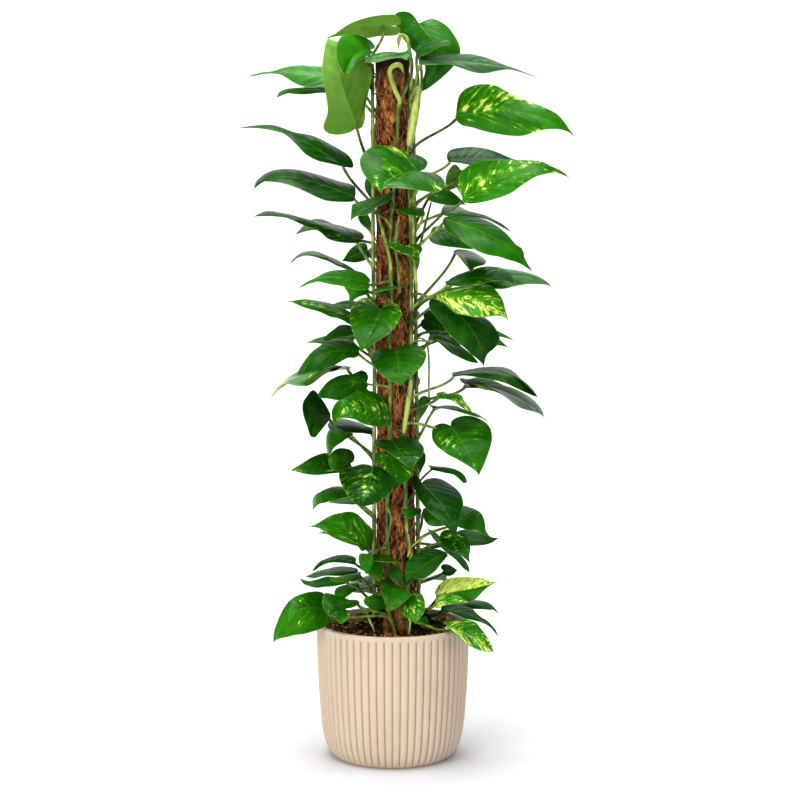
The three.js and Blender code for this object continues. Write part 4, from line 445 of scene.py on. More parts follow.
    ("R19", "right", [(80, 364, -6), (108, 344, 10), (128, 311, 12)], [(100, 354, -4), (88, 348, 16)],
     [[(84, 364), (95, 354), (105, 346), (118, 336), (125, 325)],
      [(78, 358), (86, 350), (96, 340), (108, 330), (118, 320)]], 25, 0.1),
    ("R20", "right", [(108, 402, 8), (134, 400, 34), (163, 369, 40)], [(134, 420, 6), (122, 385, 34)],
     [[(108, 412), (117, 423), (130, 421), (141, 416), (148, 410), (152, 401), (154, 393), (155, 382),
       (160, 373)],
      [(104, 396), (109, 389), (120, 385), (130, 383), (143, 381), (153, 377)]], 40, 0.15),
    ("R21", "back_right", [(106, 372, -38), (142, 367, -30), (177, 370, -46)],
     [(125, 384, -56), (130, 358, -20)],
     [[(107, 380), (115, 383), (124, 384), (140, 382), (155, 377), (165, 371)],
      [(108, 364), (118, 359), (128, 357), (141, 357), (155, 359), (166, 363), (172, 367)]], 40, 0),
    ("R22", "right", [(50, 418, 10), (66, 404, 24), (88, 391, 22)], [(70, 412, 14), (55, 400, 20)],
     [[(55, 420), (66, 412), (76, 402), (84, 395)],
      [(50, 408), (54, 398), (61, 391), (72, 389), (82, 390)]], 40, 0),
    ("R23", "right", [(72, 272, 28), (124, 283, 48), (175, 296, 44)], [(105, 305, 22), (118, 266, 56)],
     [[(70, 277), (72, 284), (77, 291), (86, 298), (97, 303), (109, 305), (122, 306), (136, 304),
       (150, 302), (162, 298), (170, 297)],
      [(82, 268), (98, 268), (112, 270), (119, 266), (127, 263), (136, 268), (146, 277), (155, 285),
       (163, 291), (170, 295)]], 45, (0.84, 0.1)),
    ("R24", "front_right", [(71, 262, 72), (98, 270, 88), (127, 262, 92)], [(90, 277, 64), (84, 256, 92)],
     [[(69, 266), (72, 270), (79, 274), (89, 277), (97, 277), (107, 275), (118, 268)],
      [(69, 257), (76, 252), (84, 257), (95, 260), (111, 261), (120, 261)]], 30, 0.58),
    ("R25", "right", [(100, 257, 8), (140, 260, 18), (177, 243, 4)], [(130, 268, -14), (125, 250, 26)],
     [[(102, 262), (118, 268), (130, 267), (141, 267), (152, 265), (161, 261), (168, 255), (173, 249)],
      [(104, 252), (118, 251), (132, 252), (146, 251), (160, 250), (170, 250)]], 35, 0),
    ("R26", "right", [(80, 252, 38), (130, 243, 62), (176, 205, 56)], [(115, 258, 34), (110, 241, 66)],
     [[(82, 256), (95, 260), (115, 258), (133, 252), (139, 245), (147, 238), (157, 232), (165, 224),
       (171, 217)],
      [(85, 247), (100, 245), (111, 239), (120, 235), (131, 234), (140, 232), (149, 229), (158, 224),
       (167, 217), (172, 211)]], 30, 0.2),
    ("R27", "front_right", [(90, 224, 84), (132, 207, 118), (168, 179, 122)],
     [(118, 233, 84), (108, 206, 124)],
     [[(84, 228), (87, 232), (96, 233), (108, 234), (118, 234), (128, 232), (139, 228), (147, 219),
       (153, 212), (158, 204), (163, 195), (166, 187)],
      [(87, 220), (96, 217), (102, 210), (111, 203), (118, 197), (127, 191), (134, 188), (142, 185),
       (150, 182), (159, 180)]], 12, (0.46, 0.62)),
]

# How much lighter (or darker, below zero) than the rest a leaf's green is. The lift of T1 and T3 is painted
# light, for the light that shines through them.
LEAF_TONES_AND_LIT_THROUGH = {"T1": 0.5, "T2": 0.05, "T3": 0.22, "T4": 0.08, "T7": -0.1, "T9": 0.16, "T12": -0.45,
              "T13": 0.08, "R2": 0.1, "L1": -0.25, "L2": -0.3, "L3": -0.25, "R1": -0.35, "C0": 0.1,
              "L5": 0.1, "R15": -0.05, "L15": -0.3, "L19": -0.3, "R23": 0.25, "R24": 0.2, "R7": 0.3,
              "C5": 0.3, "L7": 0.15, "L29": 0.1, "R17": -0.2, "R18": -0.2, "R25": -0.25, "R26": -0.15}

# Leaves round the back: vine, azimuth, height of the base, length, then droop and
# turn in degrees.
BACK_LEAVES = [
    ("back_left", -176, 1128, 120, 6, 30),
    ("back_right", 175, 1088, 105, 24, -38),
    ("back_left", -174, 1046, 120, 38, 30),
    ("back_right", 174, 1005, 110, 30, -18),
    ("back_left", -178, 970, 135, 42, 5),
    ("back_right", 177, 925, 115, 34, 12),
    ("back_left", -176, 868, 135, 20, -28),
    ("back_right", 176, 815, 120, 34, 38),
    ("back_left", -173, 775, 125, 28, -30),
    ("back_right", 174, 735, 118, 24, 15),
    ("back_left", -176, 695, 140, 40, 5),
    ("back_right", 175, 645, 110, 34, -20),
    ("back_right", 173, 600, 112, 30, -34),
    ("back_left", -174, 560, 130, 40, 38),
    ("back_right", 176, 505, 120, 30, -26),
    ("back_left", -174, 450, 130, 36, 8),
    ("back_right", 176, 400, 120, 24, 10),
    ("back_left", -168, 360, 105, 32, -20),
    ("back_right", 168, 330, 105, 28, 12),
    ("back_left", -178, 300, 130, 24, 0),
    ("back_right", 150, 276, 105, 8, 20),
    ("back_left", -150, 270, 105, 10, -20),
]
BACK_BASE_RADIUS = 78
BACK_WIDTH = 0.6
BACK_ARCH = 0.1
BACK_FOLD = math.degrees(0.05)
BACK_LOBE = 0.08
BACK_RISE = 45
BACK_CREAM = 0.15
BACK_TONE = -0.1

# Young leaves, still rolled: vine, height of the foot, radii, then points outward.
SHOOTS = [
    ("front_left", 1080, 3.6, 4.4, [(12, 1098, 40), (3, 1118, 42), (-5, 1145, 46), (0, 1156, 49),
                                    (12, 1158, 50), (18, 1145, 50)]),
    ("front_right", 1100, 2.6, 3.4, [(31, 1150, 12), (28, 1180, 2), (24, 1202, 0), (12, 1207, 2),
                                     (9, 1182, 4)]),
]

# Bare stalks, a sheath and roots against the coir: radius, lightness, then points outward.
STALKS = [
    (3.4, 0.02, [(-26, 922, 24), (-17, 882, 36), (-6, 842, 40), (-3, 810, 41), (-1, 762, 38)]),
    (2.6, 0.05, [(11, 908, 36), (5, 864, 41), (8, 824, 42), (12, 780, 38)]),
    (3.2, 0.12, [(35, 948, 24), (34, 900, 30), (36, 833, 32), (40, 780, 26)]),
    (2.0, -0.05, [(64, 930, 0), (52, 884, 12), (44, 852, 20)]),
    (4.4, 0.30, [(31, 634, 28), (25, 592, 36), (18, 545, 38)]),
    (1.5, 0.0, [(38, 704, 24), (54, 699, 4), (60, 672, -6), (61, 598, -10), (72, 588, -12)]),
    (1.9, 0.0, [(-11, 426, 37), (-3, 400, 41), (-13, 352, 39)]),
    (2.0, 0.28, [(21, 404, 34), (28, 356, 34), (25, 338, 33)]),
    (1.7, 0.22, [(27, 352, 34), (44, 366, 24), (62, 380, 6)]),
    (7.0, 0.30, [(27, 1022, 22), (32, 1052, 26), (38, 1086, 22), (43, 1122, 12)]),
    (2.2, 0.25, [(-44, 252, 30), (-40, 236, 40), (-30, 214, 46)]),
    (1.8, 0.30, [(24, 246, 44), (29, 228, 50), (27, 210, 54)]),
]


# ---- Small helpers -------------------------------------------------------------------
WHOLE_TURN = 6.28  # radians, for the phases and spins that are drawn


def unit(v):
    return v / np.linalg.norm(v)


def smoothstep(x, low, high):
    t = np.clip((x - low) / (high - low), 0, 1)
    return t * t * (3 - 2 * t)


def place(across, up, front):
    """The point `front` mm in front of the axis that is seen at (across, up) on the sheet.
    The sheet passes through AIM and is square to the line of sight."""
    ray = AIM + SHEET_UP * (up - AIM_LEVEL) - EYE
    ray[0] += across - AIM[0]
    return EYE + ray * ((-front - EYE[1]) / ray[1])


def on_sheet(point):
    """The inverse of `place`: where a point is seen on the sheet, as (across, up)."""
    ray = point - EYE
    scale = np.linalg.norm(AIM - EYE) / (ray @ SIGHT)
    return np.array([AIM[0] + ray[0] * scale, AIM_LEVEL + ray @ SHEET_UP * scale])


def catmull(points, count):
    """`count` points evenly spread by parameter on a smooth curve through `points`."""
    p = np.asarray(points, float)
    p = np.vstack([2 * p[0] - p[1], p, 2 * p[-1] - p[-2]])
    s = np.linspace(0, len(points) - 1, count)
    i = np.minimum(s.astype(int), len(points) - 2)
    t = (s - i)[:, None]
    a, b, c, d = p[i], p[i + 1], p[i + 2], p[i + 3]
    return 0.5 * (2 * b + (c - a) * t + (2 * a - 5 * b + 4 * c - d) * t**2
                  + (3 * b - a - 3 * c + d) * t**3)


def bezier(a, b, c, d, count):
    t = np.linspace(0, 1, count)[:, None]
    return a * (1 - t)**3 + 3 * b * t * (1 - t)**2 + 3 * c * t**2 * (1 - t) + d * t**3


def waves(x, y, seed, count=7):
    """Smooth seeded noise, about -1 to 1, from a few crossed waves."""
    draw = np.random.default_rng(seed)
    total = np.zeros(np.broadcast(x, y).shape)
    for _ in range(count):
        kx, ky = draw.uniform(1.0, 3.0, 2) * draw.choice([-1, 1], 2)
        total = total + np.sin(kx * x + ky * y + draw.uniform(0, WHOLE_TURN))
    return total / math.sqrt(count)


class Sheet:
    """Collects points, faces and material numbers for one mesh, and two vectors per point:
    `map` is its place on the surface, `tone` is (seed, lightness, second seed) of the part."""

    def __init__(self):
        self.points, self.faces, self.slots, self.maps, self.tones = [], [], [], [], []
        self.count = 0

    def add(self, points, faces, coords=None, slot=0, tone=(0, 0, 0)):
        points = np.asarray(points, float)
        n = len(points)
        self.points.append(points)
        self.faces += [tuple(i + self.count for i in f) for f in faces]
        self.slots += [slot] * len(faces) if np.isscalar(slot) else list(slot)
        self.maps.append(np.zeros((n, 3)) if coords is None else np.asarray(coords, float))
        self.tones.append(np.broadcast_to(np.asarray(tone, float), (n, 3)))
        self.count += n

    def build(self, name, materials, sharp_angle=50):
        mesh = bpy.data.meshes.new(name)
        mesh.from_pydata((np.vstack(self.points) * MM).tolist(), [], self.faces)
        mesh.polygons.foreach_set("material_index", self.slots)
        mesh.polygons.foreach_set("use_smooth", [True] * len(self.faces))
        for label, values in (("map", self.maps), ("tone", self.tones)):
            attribute = mesh.attributes.new(label, "FLOAT_VECTOR", "POINT")
            attribute.data.foreach_set("vector", np.vstack(values).astype(np.float32).ravel())
        for material in materials:
            mesh.materials.append(material)
        mesh.set_sharp_from_angle(angle=math.radians(sharp_angle))
        mesh.update()
        return link(name, mesh)


def link(name, data):
    """A new object in the scene that holds `data`."""
    thing = bpy.data.objects.new(name, data)
    bpy.context.scene.collection.objects.link(thing)
    return thing


def quads(rows, sides):
    """Faces between closed rows of points, `sides` to a row."""
    faces = []
    for i in range(rows - 1):
        for k in range(sides):
            a, b = i * sides + k, i * sides + (k + 1) % sides
            faces.append((a, b, b + sides, a + sides))
    return faces


def tube(points, radii, sides, bark=0.0):
    """A closed tube. Returns points, faces and (share round, share along, bark) per point.
    `bark` is how brown it is, for all of it or for each row."""
    points = np.asarray(points, float)
    n = len(points)
    radii, bark = (np.broadcast_to(np.asarray(each, float), (n,)) for each in (radii, bark))
    along = np.gradient(points, axis=0)
    along /= np.linalg.norm(along, axis=1)[:, None]
    across = np.array([1.0, 0.0, 0.0])
    angles = np.linspace(0, 2 * np.pi, sides, endpoint=False)
    rows = []
    for p, a, r in zip(points, along, radii):
        across = across - a * (across @ a)
        if np.linalg.norm(across) < 1e-6:
            across = np.cross(a, [0.3, 0.5, 0.8])
        across = unit(across)
        other = np.cross(a, across)
        rows.append(p + r * (np.cos(angles)[:, None] * across + np.sin(angles)[:, None] * other))
    faces = quads(n, sides)
    faces.append(tuple(reversed(range(sides))))
    faces.append(tuple(range((n - 1) * sides, n * sides)))
    coords = np.array([(k / sides, i / (n - 1), bark[i]) for i in range(n) for k in range(sides)])
    return np.vstack(rows), faces, coords


def ring(radius, z, sides, centre):
    """A level ring of points; `radius` is a number, one per point, or a function of the angle."""
    angle = np.linspace(0, 2 * np.pi, sides, endpoint=False)
    r = radius(angle) if callable(radius) else radius * np.ones(sides)
    return np.stack([centre + r * np.cos(angle), r * np.sin(angle), z * np.ones(sides)], -1)


def lathe(rings):
    """Closes rings of the same count, from the underside's middle round to the top's."""
    sides = len(rings[0])
    points = np.vstack(rings)
    faces = quads(len(rings), sides)
    low, high = len(points), len(points) + 1
    last = (len(rings) - 1) * sides
    faces += [(low, (k + 1) % sides, k) for k in range(sides)]
    faces += [(high, last + k, last + (k + 1) % sides) for k in range(sides)]
    return np.vstack([points, rings[0].mean(0), rings[-1].mean(0)]), faces


# ---- Materials -----------------------------------------------------------------------
class Nodes:
    """A node material with a Principled shader, and short ways to add and join nodes."""

    def __init__(self, name, **constants):
        self.material = bpy.data.materials.new(name)
        self.material.use_nodes = True
        self.tree = self.material.node_tree
        self.shader = self.tree.nodes["Principled BSDF"]
        for key, value in constants.items():
            self.shader.inputs[key.replace("_", " ")].default_value = value

    def put(self, kind, *inputs, **settings):
        node = self.tree.nodes.new("ShaderNode" + kind)
        for key, value in settings.items():
            setattr(node, key, value)
        for i, value in enumerate(inputs):
            if value is None:
                continue
            if isinstance(value, bpy.types.NodeSocket):
                self.tree.links.new(value, node.inputs[i])
            else:
                node.inputs[i].default_value = value
        return node

    def math(self, operation, *values):
        return self.put("Math", *values, operation=operation).outputs[0]

    def plus(self, a, b):
        return self.math("ADD", a, b)

    def minus(self, a, b):
        return self.math("SUBTRACT", a, b)

    def times(self, a, b):
        return self.math("MULTIPLY", a, b)

    def times_plus(self, a, b, c):
        return self.math("MULTIPLY_ADD", a, b, c)

    def ramp(self, value, *stops):
        """`stops` are (place, colour); a colour may be a single grey level."""
        node = self.put("ValToRGB", value)
        elements = node.color_ramp.elements
        while len(elements) < len(stops):
            elements.new(0.5)
        for element, (at, colour) in zip(elements, stops):
            element.position = at
            grey = isinstance(colour, (int, float))
            element.color = (colour, colour, colour, 1) if grey else (*colour, 1)
        return node.outputs[0]

    def mix(self, share, a, b):
        """From `a` to `b` by the socket `share`; `a` and `b` are colours or sockets."""
        node = self.tree.nodes.new("ShaderNodeMix")
        node.data_type = "RGBA"
        for socket, value in ((node.inputs[0], share), (node.inputs[6], a), (node.inputs[7], b)):
            if isinstance(value, bpy.types.NodeSocket):
                self.tree.links.new(value, socket)
            else:
                socket.default_value = (*value, 1)
        return node.outputs[2]

    def noise(self, vector, scale, detail, roughness=0.5):
        """Noise with `scale` waves for a unit of `vector`."""
        return self.put("TexNoise", vector, None, scale, detail, roughness).outputs[0]

    def vector(self, x, y, z):
        return self.put("CombineXYZ", x, y, z).outputs[0]

    def attribute(self, name):
        node = self.put("Attribute", attribute_name=name, attribute_type="GEOMETRY")
        return self.put("SeparateXYZ", node.outputs["Vector"]).outputs

    def place(self, scale=(1, 1, 1)):
        """Object coordinates in millimetres, times `scale`."""
        coords = self.put("TexCoord").outputs["Object"]
        size = tuple(s / MM for s in scale)
        return self.put("VectorMath", coords, size, operation="MULTIPLY").outputs[0]

    def bump(self, height, strength, depth):
        """`depth` is in millimetres."""
        node = self.put("Bump", strength, depth * MM)
        self.tree.links.new(height, node.inputs["Height"])
        self.join(node.outputs[0], "Normal")

    def join(self, socket, name):
        self.tree.links.new(socket, self.shader.inputs[name])


# On a blade, lengths are shares: along it from 0 at the stalk to 1 at the tip, and across it
# from 0 at the midrib to 1 at the margin. Noise scales are in waves per millimetre elsewhere.
LEAF_SPECULAR = 0.16
VEIN_ROWS = 13.0  # lateral veins on each half
VEIN_WIDTH = 0.09  # of the space between two lateral veins, to either side
VEIN_FADE = 0.75  # what a lateral vein loses on its way to the margin
LATERAL_SHARE = 0.5  # of a lateral vein, against the midrib
VEIN_PALE = 0.32  # share of the veins' colour where they run
MIDRIB_CORE, MIDRIB_SIDE = 0.022, 0.045
EDGE_FROM, EDGE_FULL, EDGE_PALE = 0.968, 0.992, 0.55
LEAF_CLOUDS, CLOUD_SHARE = 0.035, 0.55
CLOUD_DARK, CLOUD_BRIGHT = 0.12, 0.95
LEAF_GRAIN, GRAIN_DEPTH = 0.5, 0.12
LEAF_RELIEF = {"strength": 0.55, "depth": 0.8}

# Variegation: waves along and across a blade, and how far its two seeds shift them.
SEED_SHIFT = 61.0
PATCHES_ALONG, PATCHES_ACROSS, PATCHES_SHIFT, PATCH_SHARE = 3.2, 1.3, 7.0, 0.45
STREAKS_ALONG, STREAKS_ACROSS, STREAKS_SHIFT, STREAK_SHARE = 34.0, 3.4, 9.0, 0.65
HALF_FROM, HALF_SHARE = 0.72, 0.75  # level at which green turns paler, and how much it does
CREAM_FROM, CREAM_FULL = 0.815, 0.845  # levels between which it turns cream
PALE_FROM, PALE_FULL = 0.42, 0.62  # streak levels between the two creams


def vein_lines(n, along, across):
    """The lateral veins' rows, their fade towards the margin, and the lines of all veins."""
    row = n.times(along, VEIN_ROWS)
    near = n.math("ABSOLUTE", n.minus(n.math("FRACT", row), 0.5))
    lateral = n.ramp(near, (0.0, 1.0), (VEIN_WIDTH, 0.0))
    midrib = n.ramp(across, (0.0, 1.0), (MIDRIB_CORE, 1.0), (MIDRIB_SIDE, 0.0))
    fade = n.minus(1.0, n.times(across, VEIN_FADE))
    lines = n.math("MAXIMUM", midrib, n.times(n.times(lateral, fade), LATERAL_SHARE))
    return row, fade, lines


def variegation(n, along, across, seed, second):
    """Thin streaks that follow the lateral veins, and the level of them and of the places
    where they gather."""
    shift = n.times(seed, SEED_SHIFT)
    patches = n.vector(n.times_plus(along, PATCHES_ALONG, shift), n.times(across, PATCHES_ACROSS),
                       n.times(second, PATCHES_SHIFT))
    where = n.noise(patches, scale=1.0, detail=1)
    streaks = n.vector(n.times_plus(along, STREAKS_ALONG, shift),
                       n.times_plus(across, STREAKS_ACROSS, shift),
                       n.times(second, STREAKS_SHIFT))
    streak = n.noise(streaks, scale=1.0, detail=3, roughness=0.6)
    return streak, n.plus(n.times(where, PATCH_SHARE), n.times(streak, STREAK_SHARE))


def leaf_material(name, dark, bright, vein, cream_from, cream_to, roughness, ridge, cream_gain):
    n = Nodes(name, Specular_IOR_Level=LEAF_SPECULAR)
    along, across, cream = n.attribute("map")
    seed, tone, second = n.attribute("tone")
    row, fade, lines = vein_lines(n, along, across)
    # The tone shifts the green; for T1 and T3 it carries painted light shining through them.
    clouds = n.plus(n.times(n.noise(n.place(), LEAF_CLOUDS, detail=3), CLOUD_SHARE), tone)
    green = n.ramp(clouds, (CLOUD_DARK, dark), (CLOUD_BRIGHT, bright))
    green = n.mix(n.times(lines, VEIN_PALE), green, vein)

    streak, level = variegation(n, along, across, seed, second)
    level = n.times_plus(cream, cream_gain, level)
    pale = n.ramp(streak, (PALE_FROM, cream_from), (PALE_FULL, cream_to))
    green = n.mix(n.ramp(level, (HALF_FROM, 0.0), (CREAM_FROM, HALF_SHARE)), green, vein)
    colour = n.mix(n.ramp(level, (CREAM_FROM, 0.0), (CREAM_FULL, 1.0)), green, pale)
    edge = n.ramp(across, (EDGE_FROM, 0.0), (EDGE_FULL, EDGE_PALE))
    n.join(n.mix(edge, colour, vein), "Base Color")

    grain = n.noise(n.place(), LEAF_GRAIN, detail=2)
    n.join(n.times_plus(grain, GRAIN_DEPTH, roughness), "Roughness")
    hollow = n.times(n.math("SINE", n.times(row, 2 * math.pi)), 0.5)
    height = n.times_plus(lines, ridge, n.times(hollow, fade))
    n.bump(n.times_plus(grain, GRAIN_DEPTH, height), **LEAF_RELIEF)
    return n.material


BARK_BROWN = (0.16, 0.075, 0.025)


def stem_material(name, base, light, dark, roughness):
    n = Nodes(name)
    bark = n.attribute("map")[2]
    tone = n.attribute("tone")[1]
    patches = n.noise(n.place((1, 1, 0.35)), scale=0.12, detail=3)
    colour = n.ramp(n.plus(patches, tone), (0.30, dark), (0.52, base), (0.80, light))
    n.join(n.mix(bark, colour, BARK_BROWN), "Base Color")
    n.join(n.times_plus(patches, 0.2, roughness), "Roughness")
    ridges = n.noise(n.place((1, 1, 0.15)), scale=1.3, detail=2)
    n.bump(ridges, strength=0.35, depth=0.5)
    return n.material


COIR_COLOURS = ((0.32, (0.006, 0.003, 0.001)), (0.44, (0.085, 0.024, 0.006)),
                (0.56, (0.36, 0.118, 0.028)), (0.78, (0.76, 0.40, 0.15)))
CLUMP_SHARE = 0.75
LOOSE_MATTED, LOOSE_OWN = 0.35, 0.75
# Painted shade: near-black brown painted into the pits between the clumps, where the coir lies in shade.
PIT_SHADE_BROWN = (0.018, 0.007, 0.003)
PIT_SHADE_SHARE = 0.85
# Painted shade: the pole's top, under the top leaves, is painted almost black, with a wobbly lower edge.
TOP_SHADE_BLACK = (0.010, 0.006, 0.004)
TOP_SHADE_SHARE = 0.93
TOP_SHADE_FROM, TOP_SHADE_FULL = 1112.0, 1146.0  # heights between which the pole turns almost black
TOP_SHADE_WOBBLE = 26.0


def coir_material(name, loose):
    """Matted coir with painted shade in its pits and on its top; `loose` fibres take most of their colour
    from their own tone.
    """
    n = Nodes(name, Specular_IOR_Level=0.2, Roughness=0.9)
    matted = n.noise(n.place((1, 1, 0.4)), scale=0.16, detail=5, roughness=0.65)
    clumps = n.noise(n.place((1, 1, 0.7)), scale=0.045, detail=2)
    value = n.plus(matted, n.times(n.minus(clumps, 0.5), CLUMP_SHARE))
    if loose:
        own = n.attribute("tone")[1]
        value = n.plus(n.times(value, LOOSE_MATTED), n.times(own, LOOSE_OWN))
    # Painted shade: a noise mask paints the pits near-black.
    pit_shade_noise = n.noise(n.place((1, 1, 0.6)), scale=0.085, detail=2)
    pits = n.ramp(pit_shade_noise, (0.34, PIT_SHADE_SHARE), (0.46, 0.0))
    colour = n.mix(pits, n.ramp(value, *COIR_COLOURS), PIT_SHADE_BROWN)
    # Painted shade on the pole's top, below the top leaves.
    height = n.put("SeparateXYZ", n.place()).outputs[2]
    height = n.plus(height, n.times_plus(clumps, TOP_SHADE_WOBBLE, -TOP_SHADE_WOBBLE / 2))
    top_shade = n.put("MapRange", height, TOP_SHADE_FROM, TOP_SHADE_FULL, 0.0, TOP_SHADE_SHARE).outputs[0]
    n.join(n.mix(top_shade, colour, TOP_SHADE_BLACK), "Base Color")
    threads = n.noise(n.place((1, 1, 0.2)), scale=1.1, detail=3)
    n.bump(n.plus(matted, threads), strength=0.9, depth=1.5)
    return n.material


SOIL_COLOURS = ((0.36, (0.008, 0.004, 0.002)), (0.54, (0.085, 0.028, 0.008)),
                (0.74, (0.36, 0.125, 0.035)), (1.0, (0.66, 0.40, 0.18)))


def soil_material():
    n = Nodes("potting_mix", Specular_IOR_Level=0.25, Roughness=0.92)
    grit = n.noise(n.place(), scale=0.16, detail=5, roughness=0.7)
    n.join(n.ramp(n.plus(grit, n.attribute("tone")[1]), *SOIL_COLOURS), "Base Color")
    n.bump(grit, strength=0.8, depth=1.5)
    return n.material


POT_COLOURS = ((0.3, (0.56, 0.452, 0.350)), (0.7, (0.605, 0.496, 0.390)))
SPECK_BROWN = (0.46, 0.34, 0.24)
# Painted shade: the grooves are painted a darker brown, the more so the deeper in the groove.
GROOVE_SHADE_BROWN = (0.36, 0.245, 0.165)


def pot_material():
    n = Nodes("pot_glaze", Specular_IOR_Level=0.35)
    cloud = n.noise(n.place(), scale=0.012, detail=2)
    specks = n.ramp(n.noise(n.place(), scale=0.9, detail=2), (0.30, 0.35), (0.36, 0.0))
    colour = n.mix(specks, n.ramp(cloud, *POT_COLOURS), SPECK_BROWN)
    # Painted shade in the grooves, from the groove share in the map.
    groove = n.ramp(n.attribute("map")[0], (0.25, 0.0), (1.0, 0.5))
    n.join(n.mix(groove, colour, GROOVE_SHADE_BROWN), "Base Color")
    n.join(n.times_plus(cloud, 0.12, 0.56), "Roughness")
    n.bump(n.noise(n.place(), scale=0.6, detail=3), strength=0.22, depth=0.35)
    return n.material


WOOD_COLOURS = ((0.3, (0.20, 0.11, 0.05)), (0.7, (0.42, 0.26, 0.13)))


def wood_material():
    n = Nodes("stake_wood", Roughness=0.75, Specular_IOR_Level=0.25)
    grain = n.noise(n.place((1, 1, 0.05)), scale=0.9, detail=3)
    n.join(n.ramp(grain, *WOOD_COLOURS), "Base Color")
    n.bump(grain, strength=0.4, depth=0.5)
    return n.material


BACKDROP_WHITE = (0.73, 0.73, 0.745)
BACKDROP_SHADE = 0.985  # of the white, where the paper's veil is darkest


def backdrop_material():
    n = Nodes("backdrop_paper", Specular_IOR_Level=0.2, Roughness=0.9)
    shade = tuple(BACKDROP_SHADE * c for c in BACKDROP_WHITE)
    veil = n.noise(n.place(), scale=0.002, detail=2)
    n.join(n.mix(veil, shade, BACKDROP_WHITE), "Base Color")
    return n.material


# ---- Pole and stems ------------------------------------------------------------------
SWELLS = ((2, 37), (3, -53))  # waves round the pole, and mm of height for a radian
STEM_GAP = 0.3  # beyond the clearance


def pole_share(z):
    return (z - POLE_FOOT) / (POLE_TOP - POLE_FOOT)


def pole_centre(z):
    return POLE_LEAN * (1 - pole_share(z))


def pole_radius(z):
    return POLE_FOOT_RADIUS + (POLE_TOP_RADIUS - POLE_FOOT_RADIUS) * pole_share(z)


def coir_radius(angle, z):
    swell = sum(np.sin(count * angle + z / pitch) for count, pitch in SWELLS) / len(SWELLS)
    return pole_radius(z) + COIR_SWELL * swell


def round_pole(angle, reach, z):
    """A point round the pole; `angle` is 0 at the front and grows towards the right."""
    return np.array([pole_centre(z) + reach * math.sin(angle), -reach * math.cos(angle), z])


def stem_top(vine):
    return VINES[vine][-1][0]


def stem_point(vine, z, lift=0.0):
    track = VINES[vine]
    i = max(next(k for k, (height, _) in enumerate(track) if height >= z), 1)
    (low, from_angle), (high, to_angle) = track[i - 1], track[i]
    degrees = from_angle + (to_angle - from_angle) * float(smoothstep(z, low, high))
    reach = pole_radius(z) + COIR_SWELL + STEM_RADIUS + CLEARANCE + STEM_GAP + lift
    return round_pole(math.radians(degrees), reach, z)


# ---- Leaf blades ---------------------------------------------------------------------
LEAF_UPPER, LEAF_UNDER, PETIOLE, BARK = range(4)  # a vine's materials, in this order

ROWS = 34  # along the margin of each half
COLUMNS = 8  # from the midrib to the margin
WIDEST = 0.25  # how far along the midrib a half's widest point is measured from

# Margins are given in shares of the blade's length and of its half width.
MARGIN_START = (0.0, 0.04)
MARGIN_END = (0.985, 0.02)
MARGIN_GUESS = (0.3, 0.8)  # where the search for a drawn point starts
GUESS_ROUNDS = 12
NUDGE = 1e-4
CURVE_POINTS = 12  # of the curve, for each point of a drawn margin

RIB_END = 0.992  # the midrib's last point before the tip
RIB_LAG = 0.25  # how far its points lie behind those of the margins, per half width
RIB_LEAST = 0.05  # of an even spread, which its points reach at least
RIB_STEP = 1e-4  # keeps neighbouring points apart
VEIN_BEND = 1.35  # more than 1 bends the rows towards the tip
QUILT, QUILT_WAVES = 0.45, 22  # mm, and half waves along the blade
CROWN = 0.030  # of the width
RIPPLE, RIPPLE_WAVES = (0.006, 0.018), 3.4  # of the length, and half waves along the blade
TONE_SPREAD = (-0.13, 0.15)


def half_outline(lobe):
    """A heart's half whose lobe reaches back by `lobe`."""
    points = [(-0.3 * lobe, 0.07), (-0.75 * lobe, 0.20), (-lobe, 0.42), (-0.8 * lobe, 0.68),
              (0.03, 0.90), (0.19, 1.0), (0.38, 0.96), (0.57, 0.79), (0.74, 0.48),
              (0.87, 0.20), (0.95, 0.06), MARGIN_END]
    return catmull(points, ROWS)


def drawn_outline(blade, half, margin):
    """The outline of a half whose margin is given as seen on the sheet, from base to tip."""
    shares = [MARGIN_START]
    for seen in margin:
        guess = np.array(MARGIN_GUESS)
        for _ in range(GUESS_ROUNDS):
            here = on_sheet(blade.point(half, *guess))
            steps = [on_sheet(blade.point(half, *(guess + d))) - here for d in NUDGE * np.eye(2)]
            guess = guess + NUDGE * np.linalg.solve(np.transpose(steps), np.array(seen) - here)
        shares.append(tuple(guess))
    curve = catmull(shares + [MARGIN_END], CURVE_POINTS * len(shares))
    size = np.array([blade.length, np.linalg.norm(blade.sides[half])])
    walked = np.append(0, np.cumsum(np.linalg.norm(np.diff(curve, axis=0) * size, axis=1)))
    even = np.linspace(0, walked[-1], ROWS)
    return np.stack([np.interp(even, walked, column) for column in curve.T], -1)


class Blade:
    """A leaf blade: `reach` runs from base to tip, `bulge` lifts its middle, and each of
    `sides` runs from the midrib to a half's widest point. The first half lies to the left
    of the midrib for someone who looks from the base to the tip, at the upper face."""

    def __init__(self, base, tip, bulge, sides, outlines=None):
        self.base, self.reach, self.bulge = base, tip - base, bulge
        self.sides, self.outlines = sides, outlines
        self.length = np.linalg.norm(self.reach)
        self.width = sum(np.linalg.norm(s) for s in sides)
        self.start = unit(self.reach + ARCH_PEAK * bulge)
        self.normals = unit(np.cross(self.reach, sides[0])), unit(np.cross(sides[1], self.reach))
        self.normal = unit(self.normals[0] + self.normals[1])

    def point(self, half, u, v):
        u, v = np.asarray(u)[..., None], np.asarray(v)[..., None]
        lift = ARCH_PEAK * u * (1 - u * u) * self.bulge
        return self.base + self.reach * u + lift + self.sides[half] * v


